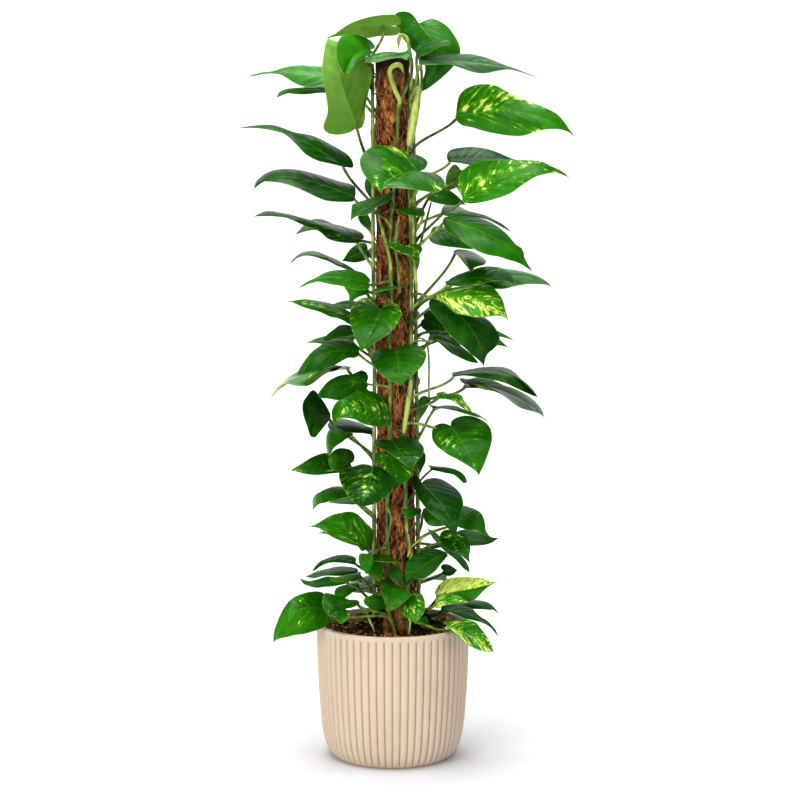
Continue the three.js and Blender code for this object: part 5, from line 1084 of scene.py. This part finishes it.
def plain_blade(base, tip, towards, width, turn, arch, fold, lobe):
    """A blade whose face looks `towards` something, then is turned about its midrib."""
    length = np.linalg.norm(tip - base)
    along = (tip - base) / length
    facing = unit(towards - along * (towards @ along))
    upward = np.cross(facing, along) * (-1 if along[0] < 0 else 1)
    angle = math.radians(turn)
    normal = facing * math.cos(angle) + upward * math.sin(angle)
    side = np.cross(normal, along) * width / 2
    lift = normal * width / 2 * math.tan(math.radians(fold))
    outline = half_outline(lobe)
    return Blade(base, tip, normal * arch * length, (side + lift, -side + lift), (outline, outline))


def shaped_blade(midrib, widest, margins):
    """A blade through the midrib's base, middle and tip, its widest points and its margins."""
    base, middle, tip = (place(*p) for p in midrib)
    left, right = (place(*p) for p in widest)
    bulge = (middle - (base + tip) / 2) / (ARCH_PEAK * 0.5 * (1 - 0.5**2))
    spine = Blade(base, tip, bulge, (UP, -UP)).point(0, WIDEST, 0)
    blade = Blade(base, tip, bulge, (left - spine, right - spine))
    blade.outlines = [drawn_outline(blade, half, margins[half]) for half in (0, 1)]
    return blade


def midrib_shares(outlines):
    """Where along the midrib each row starts, so that the rows run like the lateral veins."""
    mean = (outlines[0] + outlines[1]) / 2
    index = np.arange(ROWS)
    rib = np.maximum(mean[:, 0] - RIB_LAG * mean[:, 1], RIB_LEAST * (index / ROWS))
    return np.minimum(np.maximum.accumulate(rib + RIB_STEP * index), RIB_END)


def corner(half, k, j):
    """The number of the point in row k and column j of a half. Column 0 is the midrib."""
    return k if j == 0 else ROWS + half * ROWS * COLUMNS + k * COLUMNS + j - 1


def blade_faces():
    """The faces of a blade's upper side, and those of its underside and rim."""
    tip = ROWS + 2 * ROWS * COLUMNS
    upper = []
    for half in (0, 1):
        for j in range(COLUMNS):
            strip = [(corner(half, k, j), corner(half, k, j + 1), corner(half, k + 1, j + 1),
                      corner(half, k + 1, j)) for k in range(ROWS - 1)]
            strip.append((corner(half, ROWS - 1, j), corner(half, ROWS - 1, j + 1), tip))
            upper += strip if half else [face[::-1] for face in strip]
    loop = ([corner(0, 0, j) for j in range(COLUMNS)] + [corner(0, k, COLUMNS) for k in range(ROWS)]
            + [tip] + [corner(1, k, COLUMNS) for k in reversed(range(ROWS))]
            + [corner(1, 0, j) for j in reversed(range(1, COLUMNS))])
    count = tip + 1
    lower = [tuple(i + count for i in reversed(face)) for face in upper]
    rim = [(a, b, b + count, a + count) for a, b in zip(loop, loop[1:] + loop[:1])]
    return upper, lower + rim


UPPER_FACES, OTHER_FACES = blade_faces()


def blade_mesh(sheet, blade, cream, tone, draw):
    """Adds a blade of even thickness; `cream` is for all of it or for each half."""
    rib = midrib_shares(blade.outlines)
    index = np.arange(ROWS) / ROWS
    t = np.linspace(0, 1, COLUMNS + 1)
    quilt = QUILT * np.sin(QUILT_WAVES * math.pi * index)[:, None] * np.sin(math.pi * t)
    ripple = draw.uniform(*RIPPLE) * blade.length
    seed, tone = draw.uniform(0, 1), tone + draw.uniform(*TONE_SPREAD)
    creams = cream if isinstance(cream, tuple) else (cream, cream)
    middle = sum(creams) / 2
    points, offsets = [blade.point(0, rib, 0 * rib)], [np.tile(blade.normal, (ROWS, 1))]
    coords = [np.stack([index, 0 * index, np.full(ROWS, middle)], -1)]
    for half, margin in enumerate(blade.outlines):
        u = rib[:, None] + (margin[:, :1] - rib[:, None]) * t**VEIN_BEND
        v = margin[:, 1:] * t
        crown = CROWN * blade.width * np.sin(math.pi * t) * margin[:, 1:]
        swing = np.sin(RIPPLE_WAVES * math.pi * index[:, None] + draw.uniform(0, 2 * math.pi))
        wave = ripple * t**2 * swing * margin[:, 1:]
        lift = (crown + quilt + wave)[:, 1:, None] * blade.normals[half]
        points.append((blade.point(half, u, v)[:, 1:] + lift).reshape(-1, 3))
        offsets.append(np.tile(blade.normals[half], (ROWS * COLUMNS, 1)))
        grid = np.broadcast_arrays(index[:, None], t[None, 1:], np.full((1, 1), creams[half]))
        coords.append(np.stack(grid, -1).reshape(-1, 3))
    points = np.vstack(points + [blade.point(0, 1.0, 0.0)[None]])
    offsets = np.vstack(offsets + [blade.normal[None]]) * BLADE_THICKNESS / 2
    coords = np.vstack(coords + [[(1, 0, middle)]])
    sheet.add(np.vstack([points + offsets, points - offsets]), UPPER_FACES + OTHER_FACES,
              np.vstack([coords, coords]),
              slot=[LEAF_UPPER] * len(UPPER_FACES) + [LEAF_UNDER] * len(OTHER_FACES),
              tone=(seed, tone, draw.uniform(0, 1)))


# Each row of the three tables becomes (vine, blade, rise, cream, tone).
def front_leaf(row):
    name, vine, bx, bz, bf, tx, tz, tf, width, turn, arch, fold, lobe, rise, cream = row
    base = place(bx, bz, bf)
    blade = plain_blade(base, place(tx, tz, tf), unit(EYE - base), width, turn, arch, fold, lobe)
    return vine, blade, rise, cream, LEAF_TONES_AND_LIT_THROUGH.get(name, 0)


def shaped_leaf(row):
    name, vine, midrib, widest, margins, rise, cream = row
    return vine, shaped_blade(midrib, widest, margins), rise, cream, LEAF_TONES_AND_LIT_THROUGH.get(name, 0)


def back_leaf(row):
    vine, azimuth, height, length, droop, turn = row
    angle, fall = math.radians(azimuth), math.radians(droop)
    outward = np.array([math.sin(angle), -math.cos(angle), 0])
    base = outward * BACK_BASE_RADIUS + np.array([pole_centre(height), 0, height])
    tip = base + outward * length * math.cos(fall) - UP * length * math.sin(fall)
    blade = plain_blade(base, tip, UP, BACK_WIDTH * length, turn, BACK_ARCH, BACK_FOLD, BACK_LOBE)
    return vine, blade, BACK_RISE, BACK_CREAM * (abs(azimuth) % 3), BACK_TONE


# ---- Vines ---------------------------------------------------------------------------
# Leaf stalks: how far the curve's handles reach, in shares of the straight way from stem to
# blade, then the direction of the last one.
LEAVE_OUT, LEAVE_UP = 0.25, 0.3
ARRIVE, ARRIVE_BELOW = 0.25, 0.12
ARRIVE_LEVEL, ARRIVE_UP = 0.6, 0.8
STEM_END = 4  # mm at the stem's top that carry no leaf

# Their thickness, in shares of PETIOLE_RADIUS, and where along the stalk it changes.
PETIOLE_ROWS, PETIOLE_SIDES = 16, 8
FOOT_EXTRA = 0.25
SHEATH, SHEATH_SPAN = 0.55, 0.10
KNEE, KNEE_AT, KNEE_SPAN = 0.28, 0.90, 0.05
LAST_PART, LAST_TAPER = 0.97, 0.25
SHORT_STALK, SHORT_THINNER = 40, 0.75  # shorter than this many mm is thinner
STALK_TONES = (-0.15, 0.15)

STEM_STEP, STEM_SIDES = 4.0, 12
NODE_SPAN = 3.5  # mm of a node's swelling to either side
STEM_NARROWS = 0.2  # share of the radius lost from foot to top
STEM_BETWEEN, NODE_SWELLING = 0.88, 0.22  # of STEM_RADIUS
STEM_TIP = 0.5  # of the radius at the very top
NODE_BARK, BARK_FROM = 0.75, 0.55
STEM_TONES = (-0.05, 0.12)

ROOTS_PER_NODE = 3
ROOT_BELOW = (1, 9)  # mm below the node
ROOT_DEPTH = 10  # mm under the soil, at the lowest
ROOT_START = -1.0  # mm from the stem's middle, outwards
ROOT_SHARES = (0.25, 1, 5)  # first and last share of its way, and the number of shares
ROOT_POINTS, ROOT_SIDES = 9, 5
ROOT_FALL = (-14, 8)
ROOT_TURN = (0.35, 0.5)  # radians round the pole
ROOT_LIFT, ROOT_SINK = 2.2, 2.4
ROOT_RADII = (1.0, 0.45)
ROOT_BARK, ROOT_TONE = 0.6, 0.1

SHOOT_POINTS, SHOOT_SIDES = 30, 10
POINT_FROM, POINT_TAPER = 0.85, 0.85  # share of the length where it narrows, and by how much
SHOOT_TONE = 0.25
VINE_SEED = 100
STALK_POINTS, STALK_SIDES = 24, 10
STALK_ENDS = 0.55  # share of a bare stalk's radius at its ends


def petiole(sheet, vine, blade, rise, draw):
    """A leaf's stalk. Returns the height at which it leaves the stem."""
    foot = stem_point(vine, min(blade.base[2] - rise, stem_top(vine) - STEM_END))
    span = np.linalg.norm(blade.base - foot)
    outward = unit(foot - np.array([pole_centre(foot[2]), 0, foot[2]]))
    end = blade.point(0, PETIOLE_SUNK / blade.length, 0.0)
    approach = ARRIVE_LEVEL * unit(blade.start * (1, 1, 0)) + ARRIVE_UP * UP
    route = bezier(foot, foot + outward * LEAVE_OUT * span + UP * LEAVE_UP * span,
                   blade.base - approach * ARRIVE * span - blade.normal * ARRIVE_BELOW * span,
                   end, PETIOLE_ROWS)
    s = np.linspace(0, 1, PETIOLE_ROWS)
    knee = KNEE * np.exp(-((s - KNEE_AT) / KNEE_SPAN)**2)
    sheath = SHEATH * np.exp(-(s / SHEATH_SPAN)**2)
    taper = np.where(s > LAST_PART, LAST_TAPER, 1.0)
    radii = PETIOLE_RADIUS * (1.0 + FOOT_EXTRA * (1 - s) + sheath + knee) * taper
    if span < SHORT_STALK:
        radii = radii * SHORT_THINNER
    tone = (draw.uniform(0, 1), draw.uniform(*STALK_TONES), 0)
    sheet.add(*tube(route, radii, PETIOLE_SIDES), slot=PETIOLE, tone=tone)
    return foot[2]


def stem(sheet, vine, nodes, draw):
    """A stem that swells at its nodes and sends out roots below them."""
    foot, top = SOIL_LEVEL - STEM_BURIED, stem_top(vine)
    heights = np.append(np.arange(foot, top, STEM_STEP), top)
    swelling = np.zeros(len(heights))
    for z in nodes:
        swelling = np.maximum(swelling, np.exp(-((heights - z) / NODE_SPAN)**2))
    points = [stem_point(vine, z) for z in heights]
    narrowing = 1 - STEM_NARROWS * (heights - foot) / (top - foot)
    radii = STEM_RADIUS * narrowing * (STEM_BETWEEN + NODE_SWELLING * swelling)
    radii[-1] *= STEM_TIP
    bark = NODE_BARK * smoothstep(swelling, BARK_FROM, 1.0)
    sheet.add(*tube(points, radii, STEM_SIDES, bark), slot=BARK,
              tone=(0.5, draw.uniform(*STEM_TONES), 0))
    for z in nodes:
        for _ in range(ROOTS_PER_NODE):
            root(sheet, vine, z - draw.uniform(*ROOT_BELOW), draw)


def root(sheet, vine, z, draw):
    """A short root that leaves the stem and grips the coir."""
    start = stem_point(vine, max(z, SOIL_LEVEL - ROOT_DEPTH), ROOT_START)
    angle = math.atan2(start[0] - pole_centre(start[2]), -start[1])
    way, fall = draw.choice([-1, 1]), draw.uniform(*ROOT_FALL)
    route = [start]
    for s in np.linspace(*ROOT_SHARES):
        turned = angle + way * s * draw.uniform(*ROOT_TURN)
        height = start[2] + fall * s
        reach = coir_radius(turned, height) + ROOT_LIFT - ROOT_SINK * s
        route.append(round_pole(turned, reach, height))
    radii = np.linspace(*ROOT_RADII, ROOT_POINTS)
    sheet.add(*tube(catmull(route, ROOT_POINTS), radii, ROOT_SIDES, ROOT_BARK), slot=BARK,
              tone=(0.5, ROOT_TONE, 0))


def shoot(sheet, row):
    """A young leaf that is still rolled to a point."""
    vine, foot, thick, thin, route = row
    points = catmull([stem_point(vine, foot)] + [place(*p) for p in route], SHOOT_POINTS)
    s = np.linspace(0, 1, SHOOT_POINTS)
    radii = (thick + (thin - thick) * s) * (1 - smoothstep(s, POINT_FROM, 1.0) * POINT_TAPER)
    sheet.add(*tube(points, radii, SHOOT_SIDES), slot=PETIOLE, tone=(0.4, SHOOT_TONE, 0))


def build_vines(materials):
    leaves = [front_leaf(row) for row in LEAVES] + [shaped_leaf(row) for row in SHAPED_LEAVES]
    leaves += [back_leaf(row) for row in BACK_LEAVES]
    for number, vine in enumerate(VINES):
        draw = np.random.default_rng(VINE_SEED + number)
        sheet = Sheet()
        nodes = []
        for owner, blade, rise, cream, tone in leaves:
            if owner == vine:
                blade_mesh(sheet, blade, cream, tone, draw)
                nodes.append(petiole(sheet, vine, blade, rise, draw))
        stem(sheet, vine, nodes, draw)
        for row in SHOOTS:
            if row[0] == vine:
                shoot(sheet, row)
        piece = sheet.build(f"pothos_{vine}", materials)
        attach(piece, "root")
        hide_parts(f"vine_{vine}")


def build_stalks(material):
    """Bare stalks, a leaf sheath and green roots that lie against the coir."""
    sheet = Sheet()
    for thick, light, route in STALKS:
        s = np.linspace(0, 1, STALK_POINTS)
        radii = thick * (STALK_ENDS + (1 - STALK_ENDS) * np.sqrt(np.sin(math.pi * s)))
        points = catmull([place(*p) for p in route], STALK_POINTS)
        sheet.add(*tube(points, radii, STALK_SIDES), tone=(0.5, light, 0))
    piece = sheet.build("bare_stalks", [material])
    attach(piece, "root")


leaf_upper = leaf_material(
    "leaf_upper", dark=(0.004, 0.058, 0.001), bright=(0.062, 0.38, 0.001), vein=(0.12, 0.40, 0.008),
    cream_from=(0.38, 0.58, 0.06), cream_to=(0.76, 0.80, 0.23), roughness=0.25, ridge=-0.9,
    cream_gain=0.42)
leaf_under = leaf_material(
    "leaf_under", dark=(0.055, 0.16, 0.012), bright=(0.19, 0.38, 0.050), vein=(0.30, 0.50, 0.13),
    cream_from=(0.30, 0.48, 0.10), cream_to=(0.50, 0.60, 0.22), roughness=0.42, ridge=1.2,
    cream_gain=0.25)
petiole_green = stem_material(
    "petiole_green", base=(0.115, 0.20, 0.022), light=(0.38, 0.48, 0.09), dark=(0.015, 0.035, 0.006),
    roughness=0.32)
stem_green = stem_material(
    "stem_green", base=(0.115, 0.20, 0.022), light=(0.50, 0.58, 0.15), dark=(0.025, 0.045, 0.008),
    roughness=0.40)
build_vines([leaf_upper, leaf_under, petiole_green, stem_green])
build_stalks(stem_green)


# ---- Coir pole -----------------------------------------------------------------------
POLE_SIDES = 110
POLE_STEP = 3.4
POLE_SHOULDER = ((6.5, 0.6), (4, 2.0), (2, 4.2), (0.8, 7), (0, 12), (0.8, 20))  # drop, inset
COIR_ROWS = (12, 8)  # they start so far under the soil's surface, and end so far below the top
COIR_DEPTH = 0.4  # mm by which the matted surface lies inside the solid's
# Clumps and tufts: factor of the angle, mm of height for a unit of noise, seed, mm of relief.
COIR_WAVES = ((3, 16, 3, 0.7), (11, 4.2, 4, 0.55))
COIR_WAVE_COUNT = 9

FIBRES, FIBRE_SEED = 2300, 8
FIBRE_LENGTH = (18, 75)
FIBRE_RADIUS = (0.28, 0.6)
FIBRE_SLOPE, FIBRE_BEND = 0.75, 0.5  # how far they vary
# Limits of a fibre's middle and of its ends: mm under the soil's surface, mm below the top.
FIBRE_MIDDLES, FIBRE_ENDS = (4, 3), (6, 1.5)
FIBRE_LOOSE = (0.1, 1.1)
FIBRE_OFF, FIBRE_ENDS_OFF, FIBRE_MIDDLE_OFF = 0.1, 0.3, 1.2  # mm off the surface
FIBRE_TONES = (0.2, 0.95)
FIBRE_POINTS, FIBRE_SIDES = 7, 3
COIR_MEAN_RADIUS = 31
SHOULDER, SHOULDER_SINK = 7, 5.5  # mm below the top where fibres start to sink in, and how far


def matted(angle, z):
    """The coir's uneven surface: clumps, and pits between them."""
    surface = coir_radius(angle, z)
    for turns, pitch, seed, height in COIR_WAVES:
        surface = surface + waves(angle * turns, z / pitch, seed, COIR_WAVE_COUNT) * height
    return surface - COIR_DEPTH


def coir_span(sunk, short):
    """Lowest and highest z of something that ends `short` of the pole's top."""
    return SOIL_LEVEL - sunk, POLE_TOP - short


def build_coir():
    levels = [(z, 0) for z in (POLE_FOOT, *np.arange(*coir_span(*COIR_ROWS), POLE_STEP))]
    levels += [(POLE_TOP - drop, inset) for drop, inset in POLE_SHOULDER]
    rings = [ring(lambda a, z=z, s=inset: matted(a, z) - s, z, POLE_SIDES, pole_centre(z))
             for z, inset in levels]
    sheet = Sheet()
    sheet.add(*lathe(rings))
    piece = sheet.build("coir_pole", [coir_material("coir_matted", loose=False)], sharp_angle=80)
    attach(piece, "root")
    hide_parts("pole_coir")


def fibre(sheet, draw):
    """A loose fibre that bends over the matted surface."""
    angle, z = draw.uniform(0, 2 * math.pi), draw.uniform(*coir_span(*FIBRE_MIDDLES))
    slope = draw.normal(0, FIBRE_SLOPE)
    length = draw.uniform(*FIBRE_LENGTH)
    s = np.linspace(-0.5, 0.5, FIBRE_POINTS)
    bend = draw.normal(0, FIBRE_BEND)
    turned = angle + length * (math.sin(slope) * s + bend * s * s * 0.5) / COIR_MEAN_RADIUS
    heights = np.clip(z + length * math.cos(slope) * s, *coir_span(*FIBRE_ENDS))
    loose = draw.uniform(*FIBRE_LOOSE)
    off = loose * (FIBRE_ENDS_OFF + FIBRE_MIDDLE_OFF * (1 - 4 * s * s))
    reach = matted(turned, heights) + FIBRE_OFF + off
    reach -= SHOULDER_SINK * smoothstep(heights, POLE_TOP - SHOULDER, POLE_TOP)
    across = pole_centre(heights) + reach * np.cos(turned)
    route = np.stack([across, reach * np.sin(turned), heights], -1)
    sheet.add(*tube(route, draw.uniform(*FIBRE_RADIUS), FIBRE_SIDES),
              tone=(0.5, draw.uniform(*FIBRE_TONES), 0))


def build_fibres():
    sheet = Sheet()
    draw = np.random.default_rng(FIBRE_SEED)
    for _ in range(FIBRES):
        fibre(sheet, draw)
    piece = sheet.build("coir_fibres", [coir_material("coir_fibre", loose=True)], sharp_angle=80)
    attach(piece, "root")


build_coir()
build_fibres()


# ---- Pot -----------------------------------------------------------------------------
RIB_POINTS = 12
POT_PROFILE = [  # height, radius over the ribs' crests
    (0, 96), (2, 100), (5, 103.8), (10, 108), (20, 113), (31, 116.2), (42, 118.4), (52, 119.8),
    (72, 121.9), (93, 123.5), (113, 124.8), (134, 126), (165, 127.2), (200, POT_RADIUS),
    (POT_HEIGHT - 2, POT_RADIUS),
]
POT_HEIGHTS = [0, 0.6, 1.5, 3, 5, 8, 11, 15, 20, 26, 33, 40, 48, 57, 67, 78, 90, 105, 120, 135,
               150, 165, 180, 196, *np.linspace(RIB_TOP - 9, RIB_TOP + 2, 15), POT_HEIGHT - 2]
POT_INNER = POT_RADIUS - POT_WALL
RIM_AND_INSIDE = [  # radius, height
    (POT_RADIUS - 0.4, POT_HEIGHT - 1.2), (POT_RADIUS - 1.3, POT_HEIGHT - 0.3),
    (POT_RADIUS - 2.6, POT_HEIGHT), (POT_INNER + 2.2, POT_HEIGHT),
    (POT_INNER + 0.9, POT_HEIGHT - 0.5), (POT_INNER, POT_HEIGHT - 2), (POT_INNER - 1, 205),
    (101, 14), (98, POT_FLOOR),
]
GROOVE_FOOT = (0.5, 9)  # heights between which the grooves fade in
GROOVE_TOP = (RIB_TOP - 7, RIB_TOP)  # and out
GROOVE_BEND, GROOVE_BOTTOM = 0.96, 0.8  # the crests' round shape, and what it drops in a groove


def pot_outside(angle, z):
    """Radius and groove share: round ribs, and narrow grooves that end softly at the rim."""
    crest = np.interp(z, *zip(*POT_PROFILE))
    share = np.abs((angle * RIB_COUNT / (2 * np.pi) + 0.5) % 1 - 0.5) * 2  # 1 in the groove
    groove = (1 - np.sqrt(1 - GROOVE_BEND * share**2)) / GROOVE_BOTTOM
    groove = groove * smoothstep(z, *GROOVE_FOOT) * (1 - smoothstep(z, *GROOVE_TOP))
    return crest - RIB_DEPTH * groove, groove


def build_pot():
    sides = RIB_COUNT * RIB_POINTS
    angles = np.linspace(0, 2 * np.pi, sides, endpoint=False) - math.pi / RIB_COUNT
    levels = [(*pot_outside(angles, z), z) for z in POT_HEIGHTS]
    levels += [(radius, np.zeros(sides), z) for radius, z in RIM_AND_INSIDE]
    points, faces = lathe([ring(radius, z, sides, 0) for radius, _, z in levels])
    coords = np.zeros((len(points), 3))
    # The groove share goes into the map, for the painted shade in the grooves.
    coords[:-2, 0] = np.concatenate([groove for _, groove, _ in levels])
    sheet = Sheet()
    sheet.add(points, faces, coords)
    piece = sheet.build("ribbed_pot", [pot_material()], sharp_angle=60)
    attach(piece, "root")
    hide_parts("pot")


build_pot()


# ---- Soil ----------------------------------------------------------------------------
SOIL_SIDES, SOIL_RINGS = 120, 34
SOIL_SEED = 5
SOIL_TONE = 0.04
SOIL_SETTLED = 0.5  # mm
SOIL_EDGE = POT_RADIUS - POT_WALL - 2.2
SOIL_HUMPS = ((24, 12, 2.2), (6, 13, 1.0))  # mm for a wave's unit, seed, height
EDGE_PILE = (72, 108)  # radii between which the soil rises to the edge
BED_FOOT, BED_SIDE = (98, POLE_FOOT + 1), (SOIL_EDGE - 2, SOIL_LEVEL - 30)  # radius, height
BED_MIDDLE = 8  # radius of the innermost ring

CHIPS = 1100
CHIP_SIZE = ((2, 7.5), (1.2, 3.6), (0.5, 1.6))  # half of length, width and height
CHIP_CORNERS = np.array([(x, y, z) for z in (-1, 1) for y in (-1, 1) for x in (-1, 1)], float)
CHIP_FACES = [(0, 2, 3, 1), (4, 5, 7, 6), (0, 1, 5, 4), (2, 6, 7, 3), (0, 4, 6, 2), (1, 3, 7, 5)]
CHIP_AREA = (0.09, 0.97)  # shares of the soil's area, from the middle outwards
CHIP_CUT = (0.6, 1.0)  # how far each corner stands out
CHIP_TILTS = ((0.45, "X"), (0.35, "Y"))
CHIP_CLEAR = 8  # mm from the edge
CHIP_LIFT = 0.6
CHIP_TONES = (-0.06, 0.55)

ROOT_CURVE = 14  # points along a root
LOOSE_ROOTS, LOOSE_STEPS, LOOSE_STEP, LOOSE_BEND = 60, 5, 8, 0.5
LOOSE_START = (45, 100)  # mm from the pot's axis
LOOSE_REACH = SOIL_EDGE - 4
LOOSE_SIDES, POLE_ROOT_SIDES = 5, 6
LOOSE_LIFT, LOOSE_RADII, LOOSE_TONES = (0.4, 2.4), (0.5, 1.1), (0.35, 0.6)

POLE_ROOTS = 70
POLE_ROOT_ANGLES = (0.15, 1.85)  # half turns from the front
POLE_ROOT_SHARES, POLE_ROOT_BEND = (0, 0.35, 0.7, 1.0), 0.22
POLE_ROOT_FALL = 1.4  # more than 1 bends the root downwards sooner
POLE_ROOT_RADII = (1.5, 0.8)
POLE_ROOT_INSIDE, POLE_ROOT_SUNK = 0.5, 2  # mm in the coir, and in the soil
POLE_ROOT_START = (226, 262)  # heights at which they leave the coir
POLE_ROOT_END = (58, 104)  # mm from the pole's axis at which they go into the soil
POLE_ROOT_TONES, POLE_ROOT_ODDS = (-0.25, -0.1, 0.45), (0.6, 0.3, 0.1)


def soil_height(x, y):
    height = SOIL_LEVEL - SOIL_SETTLED + SOIL_EDGE_RISE * smoothstep(np.hypot(x, y), *EDGE_PILE)
    for pitch, seed, high in SOIL_HUMPS:
        height = height + high * waves(x / pitch, y / pitch, seed)
    return height


def soil_bed(sheet):
    angle = np.linspace(0, 2 * np.pi, SOIL_SIDES, endpoint=False)
    rings = [ring(radius, z, SOIL_SIDES, 0) for radius, z in (BED_FOOT, BED_SIDE)]
    for r in np.linspace(SOIL_EDGE, BED_MIDDLE, SOIL_RINGS):
        x, y = r * np.cos(angle), r * np.sin(angle)
        rings.append(np.stack([x, y, soil_height(x, y)], -1))
    sheet.add(*lathe(rings), tone=(0, SOIL_TONE, 0))


def chip(sheet, draw):
    """A chip of bark or coir: a box with uneven corners."""
    r, a = SOIL_EDGE * math.sqrt(draw.uniform(*CHIP_AREA)), draw.uniform(0, 2 * math.pi)
    size = np.array([draw.uniform(*span) for span in CHIP_SIZE])
    shape = CHIP_CORNERS * size * draw.uniform(*CHIP_CUT, (8, 3))
    spin = Matrix.Rotation(draw.uniform(0, WHOLE_TURN), 3, "Z")
    for tilt, axis in CHIP_TILTS:
        spin = spin @ Matrix.Rotation(draw.normal(0, tilt), 3, axis)
    reach = min(r, SOIL_EDGE - CHIP_CLEAR)
    x, y = reach * math.cos(a), reach * math.sin(a)
    centre = np.array([x, y, float(soil_height(x, y)) + CHIP_LIFT])
    sheet.add(shape @ np.array(spin.transposed()) + centre, CHIP_FACES,
              tone=(0.5, draw.uniform(*CHIP_TONES), 0))


def loose_root(sheet, draw):
    """A root that wanders over the surface."""
    a, r = draw.uniform(0, 2 * math.pi), draw.uniform(*LOOSE_START)
    heading = draw.uniform(0, 2 * math.pi)
    x, y = r * math.cos(a), r * math.sin(a)
    route = []
    for _ in range(LOOSE_STEPS):
        reach = math.hypot(x, y)
        if reach > LOOSE_REACH:
            x, y = x * LOOSE_REACH / reach, y * LOOSE_REACH / reach
        route.append((x, y, float(soil_height(x, y)) + draw.uniform(*LOOSE_LIFT)))
        heading += draw.normal(0, LOOSE_BEND)
        x, y = x + LOOSE_STEP * math.cos(heading), y + LOOSE_STEP * math.sin(heading)
    sheet.add(*tube(catmull(route, ROOT_CURVE), draw.uniform(*LOOSE_RADII), LOOSE_SIDES),
              tone=(0.5, draw.uniform(*LOOSE_TONES), 0))


def pole_root(sheet, draw):
    """A root that comes out of the coir and goes down into the soil."""
    angle, top = draw.uniform(*POLE_ROOT_ANGLES) * math.pi, draw.uniform(*POLE_ROOT_START)
    near, far = coir_radius(angle, top) - POLE_ROOT_INSIDE, draw.uniform(*POLE_ROOT_END)
    route = []
    for share in POLE_ROOT_SHARES:
        turned = angle + share * draw.normal(0, POLE_ROOT_BEND)
        x, y, _ = round_pole(turned, near + (far - near) * share, top)
        ground = float(soil_height(x, y)) - POLE_ROOT_SUNK
        route.append((x, y, ground + (top - ground) * (1 - share)**POLE_ROOT_FALL))
    tone = (0.5, draw.choice(POLE_ROOT_TONES, p=POLE_ROOT_ODDS), 0)
    radii = np.linspace(*POLE_ROOT_RADII, ROOT_CURVE)
    sheet.add(*tube(catmull(route, ROOT_CURVE), radii, POLE_ROOT_SIDES), tone=tone)


def build_soil():
    sheet = Sheet()
    soil_bed(sheet)
    draw = np.random.default_rng(SOIL_SEED)
    for count, add in ((CHIPS, chip), (LOOSE_ROOTS, loose_root), (POLE_ROOTS, pole_root)):
        for _ in range(count):
            add(sheet, draw)
    piece = sheet.build("potting_mix", [soil_material()], sharp_angle=40)
    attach(piece, "root")
    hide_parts("soil")


build_soil()
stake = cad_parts["pole_stake"]
stake.data.materials.clear()
stake.data.materials.append(wood_material())


# ---- Stage, light and camera, in metres ----------------------------------------------
BACKDROP_FRONT, BACKDROP_DEPTH = -4.0, 2.2
BACKDROP_HEIGHT, BACKDROP_BEND, BACKDROP_HALF = 4.0, 1.2, 6.0
BEND_STEPS = 12
LIGHTS = [  # name, place, aim, size, power
    ("overhead", (-0.2, -0.5, 3.5), (0, 0, 0.4), 3.0, 100),
    ("key", (-1.9, -2.8, 0.8), (0, 0, 0.6), 2.2, 74),
    ("fill", (2.6, -2.4, 0.9), (0, 0, 0.5), 2.8, 34),
    ("back_wash", (0.0, 0.4, 3.6), (0, 2.2, 1.2), 2.0, 60),
]
WORLD_LIGHT = 0.30
EXPOSURE = 0.14
GAMMA = 0.87


def build_stage():
    """A floor that bends up into the wall behind."""
    start = BACKDROP_DEPTH - BACKDROP_BEND
    profile = [(BACKDROP_FRONT, 0.0), (start, 0.0)]
    for k in range(1, BEND_STEPS + 1):
        a = math.pi / 2 * k / BEND_STEPS
        profile.append((start + BACKDROP_BEND * math.sin(a), BACKDROP_BEND - BACKDROP_BEND * math.cos(a)))
    profile.append((BACKDROP_DEPTH, BACKDROP_HEIGHT))
    mesh = bpy.data.meshes.new("backdrop")
    points = [(x, y, z) for y, z in profile for x in (-BACKDROP_HALF, BACKDROP_HALF)]
    faces = [(2 * i, 2 * i + 1, 2 * i + 3, 2 * i + 2) for i in range(len(profile) - 1)]
    mesh.from_pydata(points, [], faces)
    mesh.polygons.foreach_set("use_smooth", [True] * len(faces))
    mesh.materials.append(backdrop_material())
    floor = link("backdrop", mesh)


def look_along(thing, way):
    thing.rotation_euler = Vector(way).to_track_quat("-Z", "Y").to_euler()


def area_light(name, where, aim, size, power):
    light = bpy.data.lights.new(name, "AREA")
    light.shape = "DISK"
    light.size = size
    light.energy = power
    lamp = link(name, light)
    lamp.location = where
    look_along(lamp, Vector(aim) - Vector(where))


def set_world():
    world = bpy.data.worlds.new("studio")
    world.use_nodes = True
    background = world.node_tree.nodes["Background"]
    background.inputs["Color"].default_value = (1, 1, 1, 1)
    background.inputs["Strength"].default_value = WORLD_LIGHT
    bpy.context.scene.world = world
    view = bpy.context.scene.view_settings
    view.view_transform = "Standard"
    view.exposure = EXPOSURE
    view.gamma = GAMMA


def add_camera():
    data = bpy.data.cameras.new("camera")
    data.lens = LENS
    data.sensor_width = SENSOR
    data.sensor_fit = "HORIZONTAL"
    camera = link("camera", data)
    camera.location = Vector(EYE * MM)
    look_along(camera, SIGHT)
    bpy.context.scene.camera = camera


build_stage()
for row in LIGHTS:
    area_light(*row)
set_world()
add_camera()
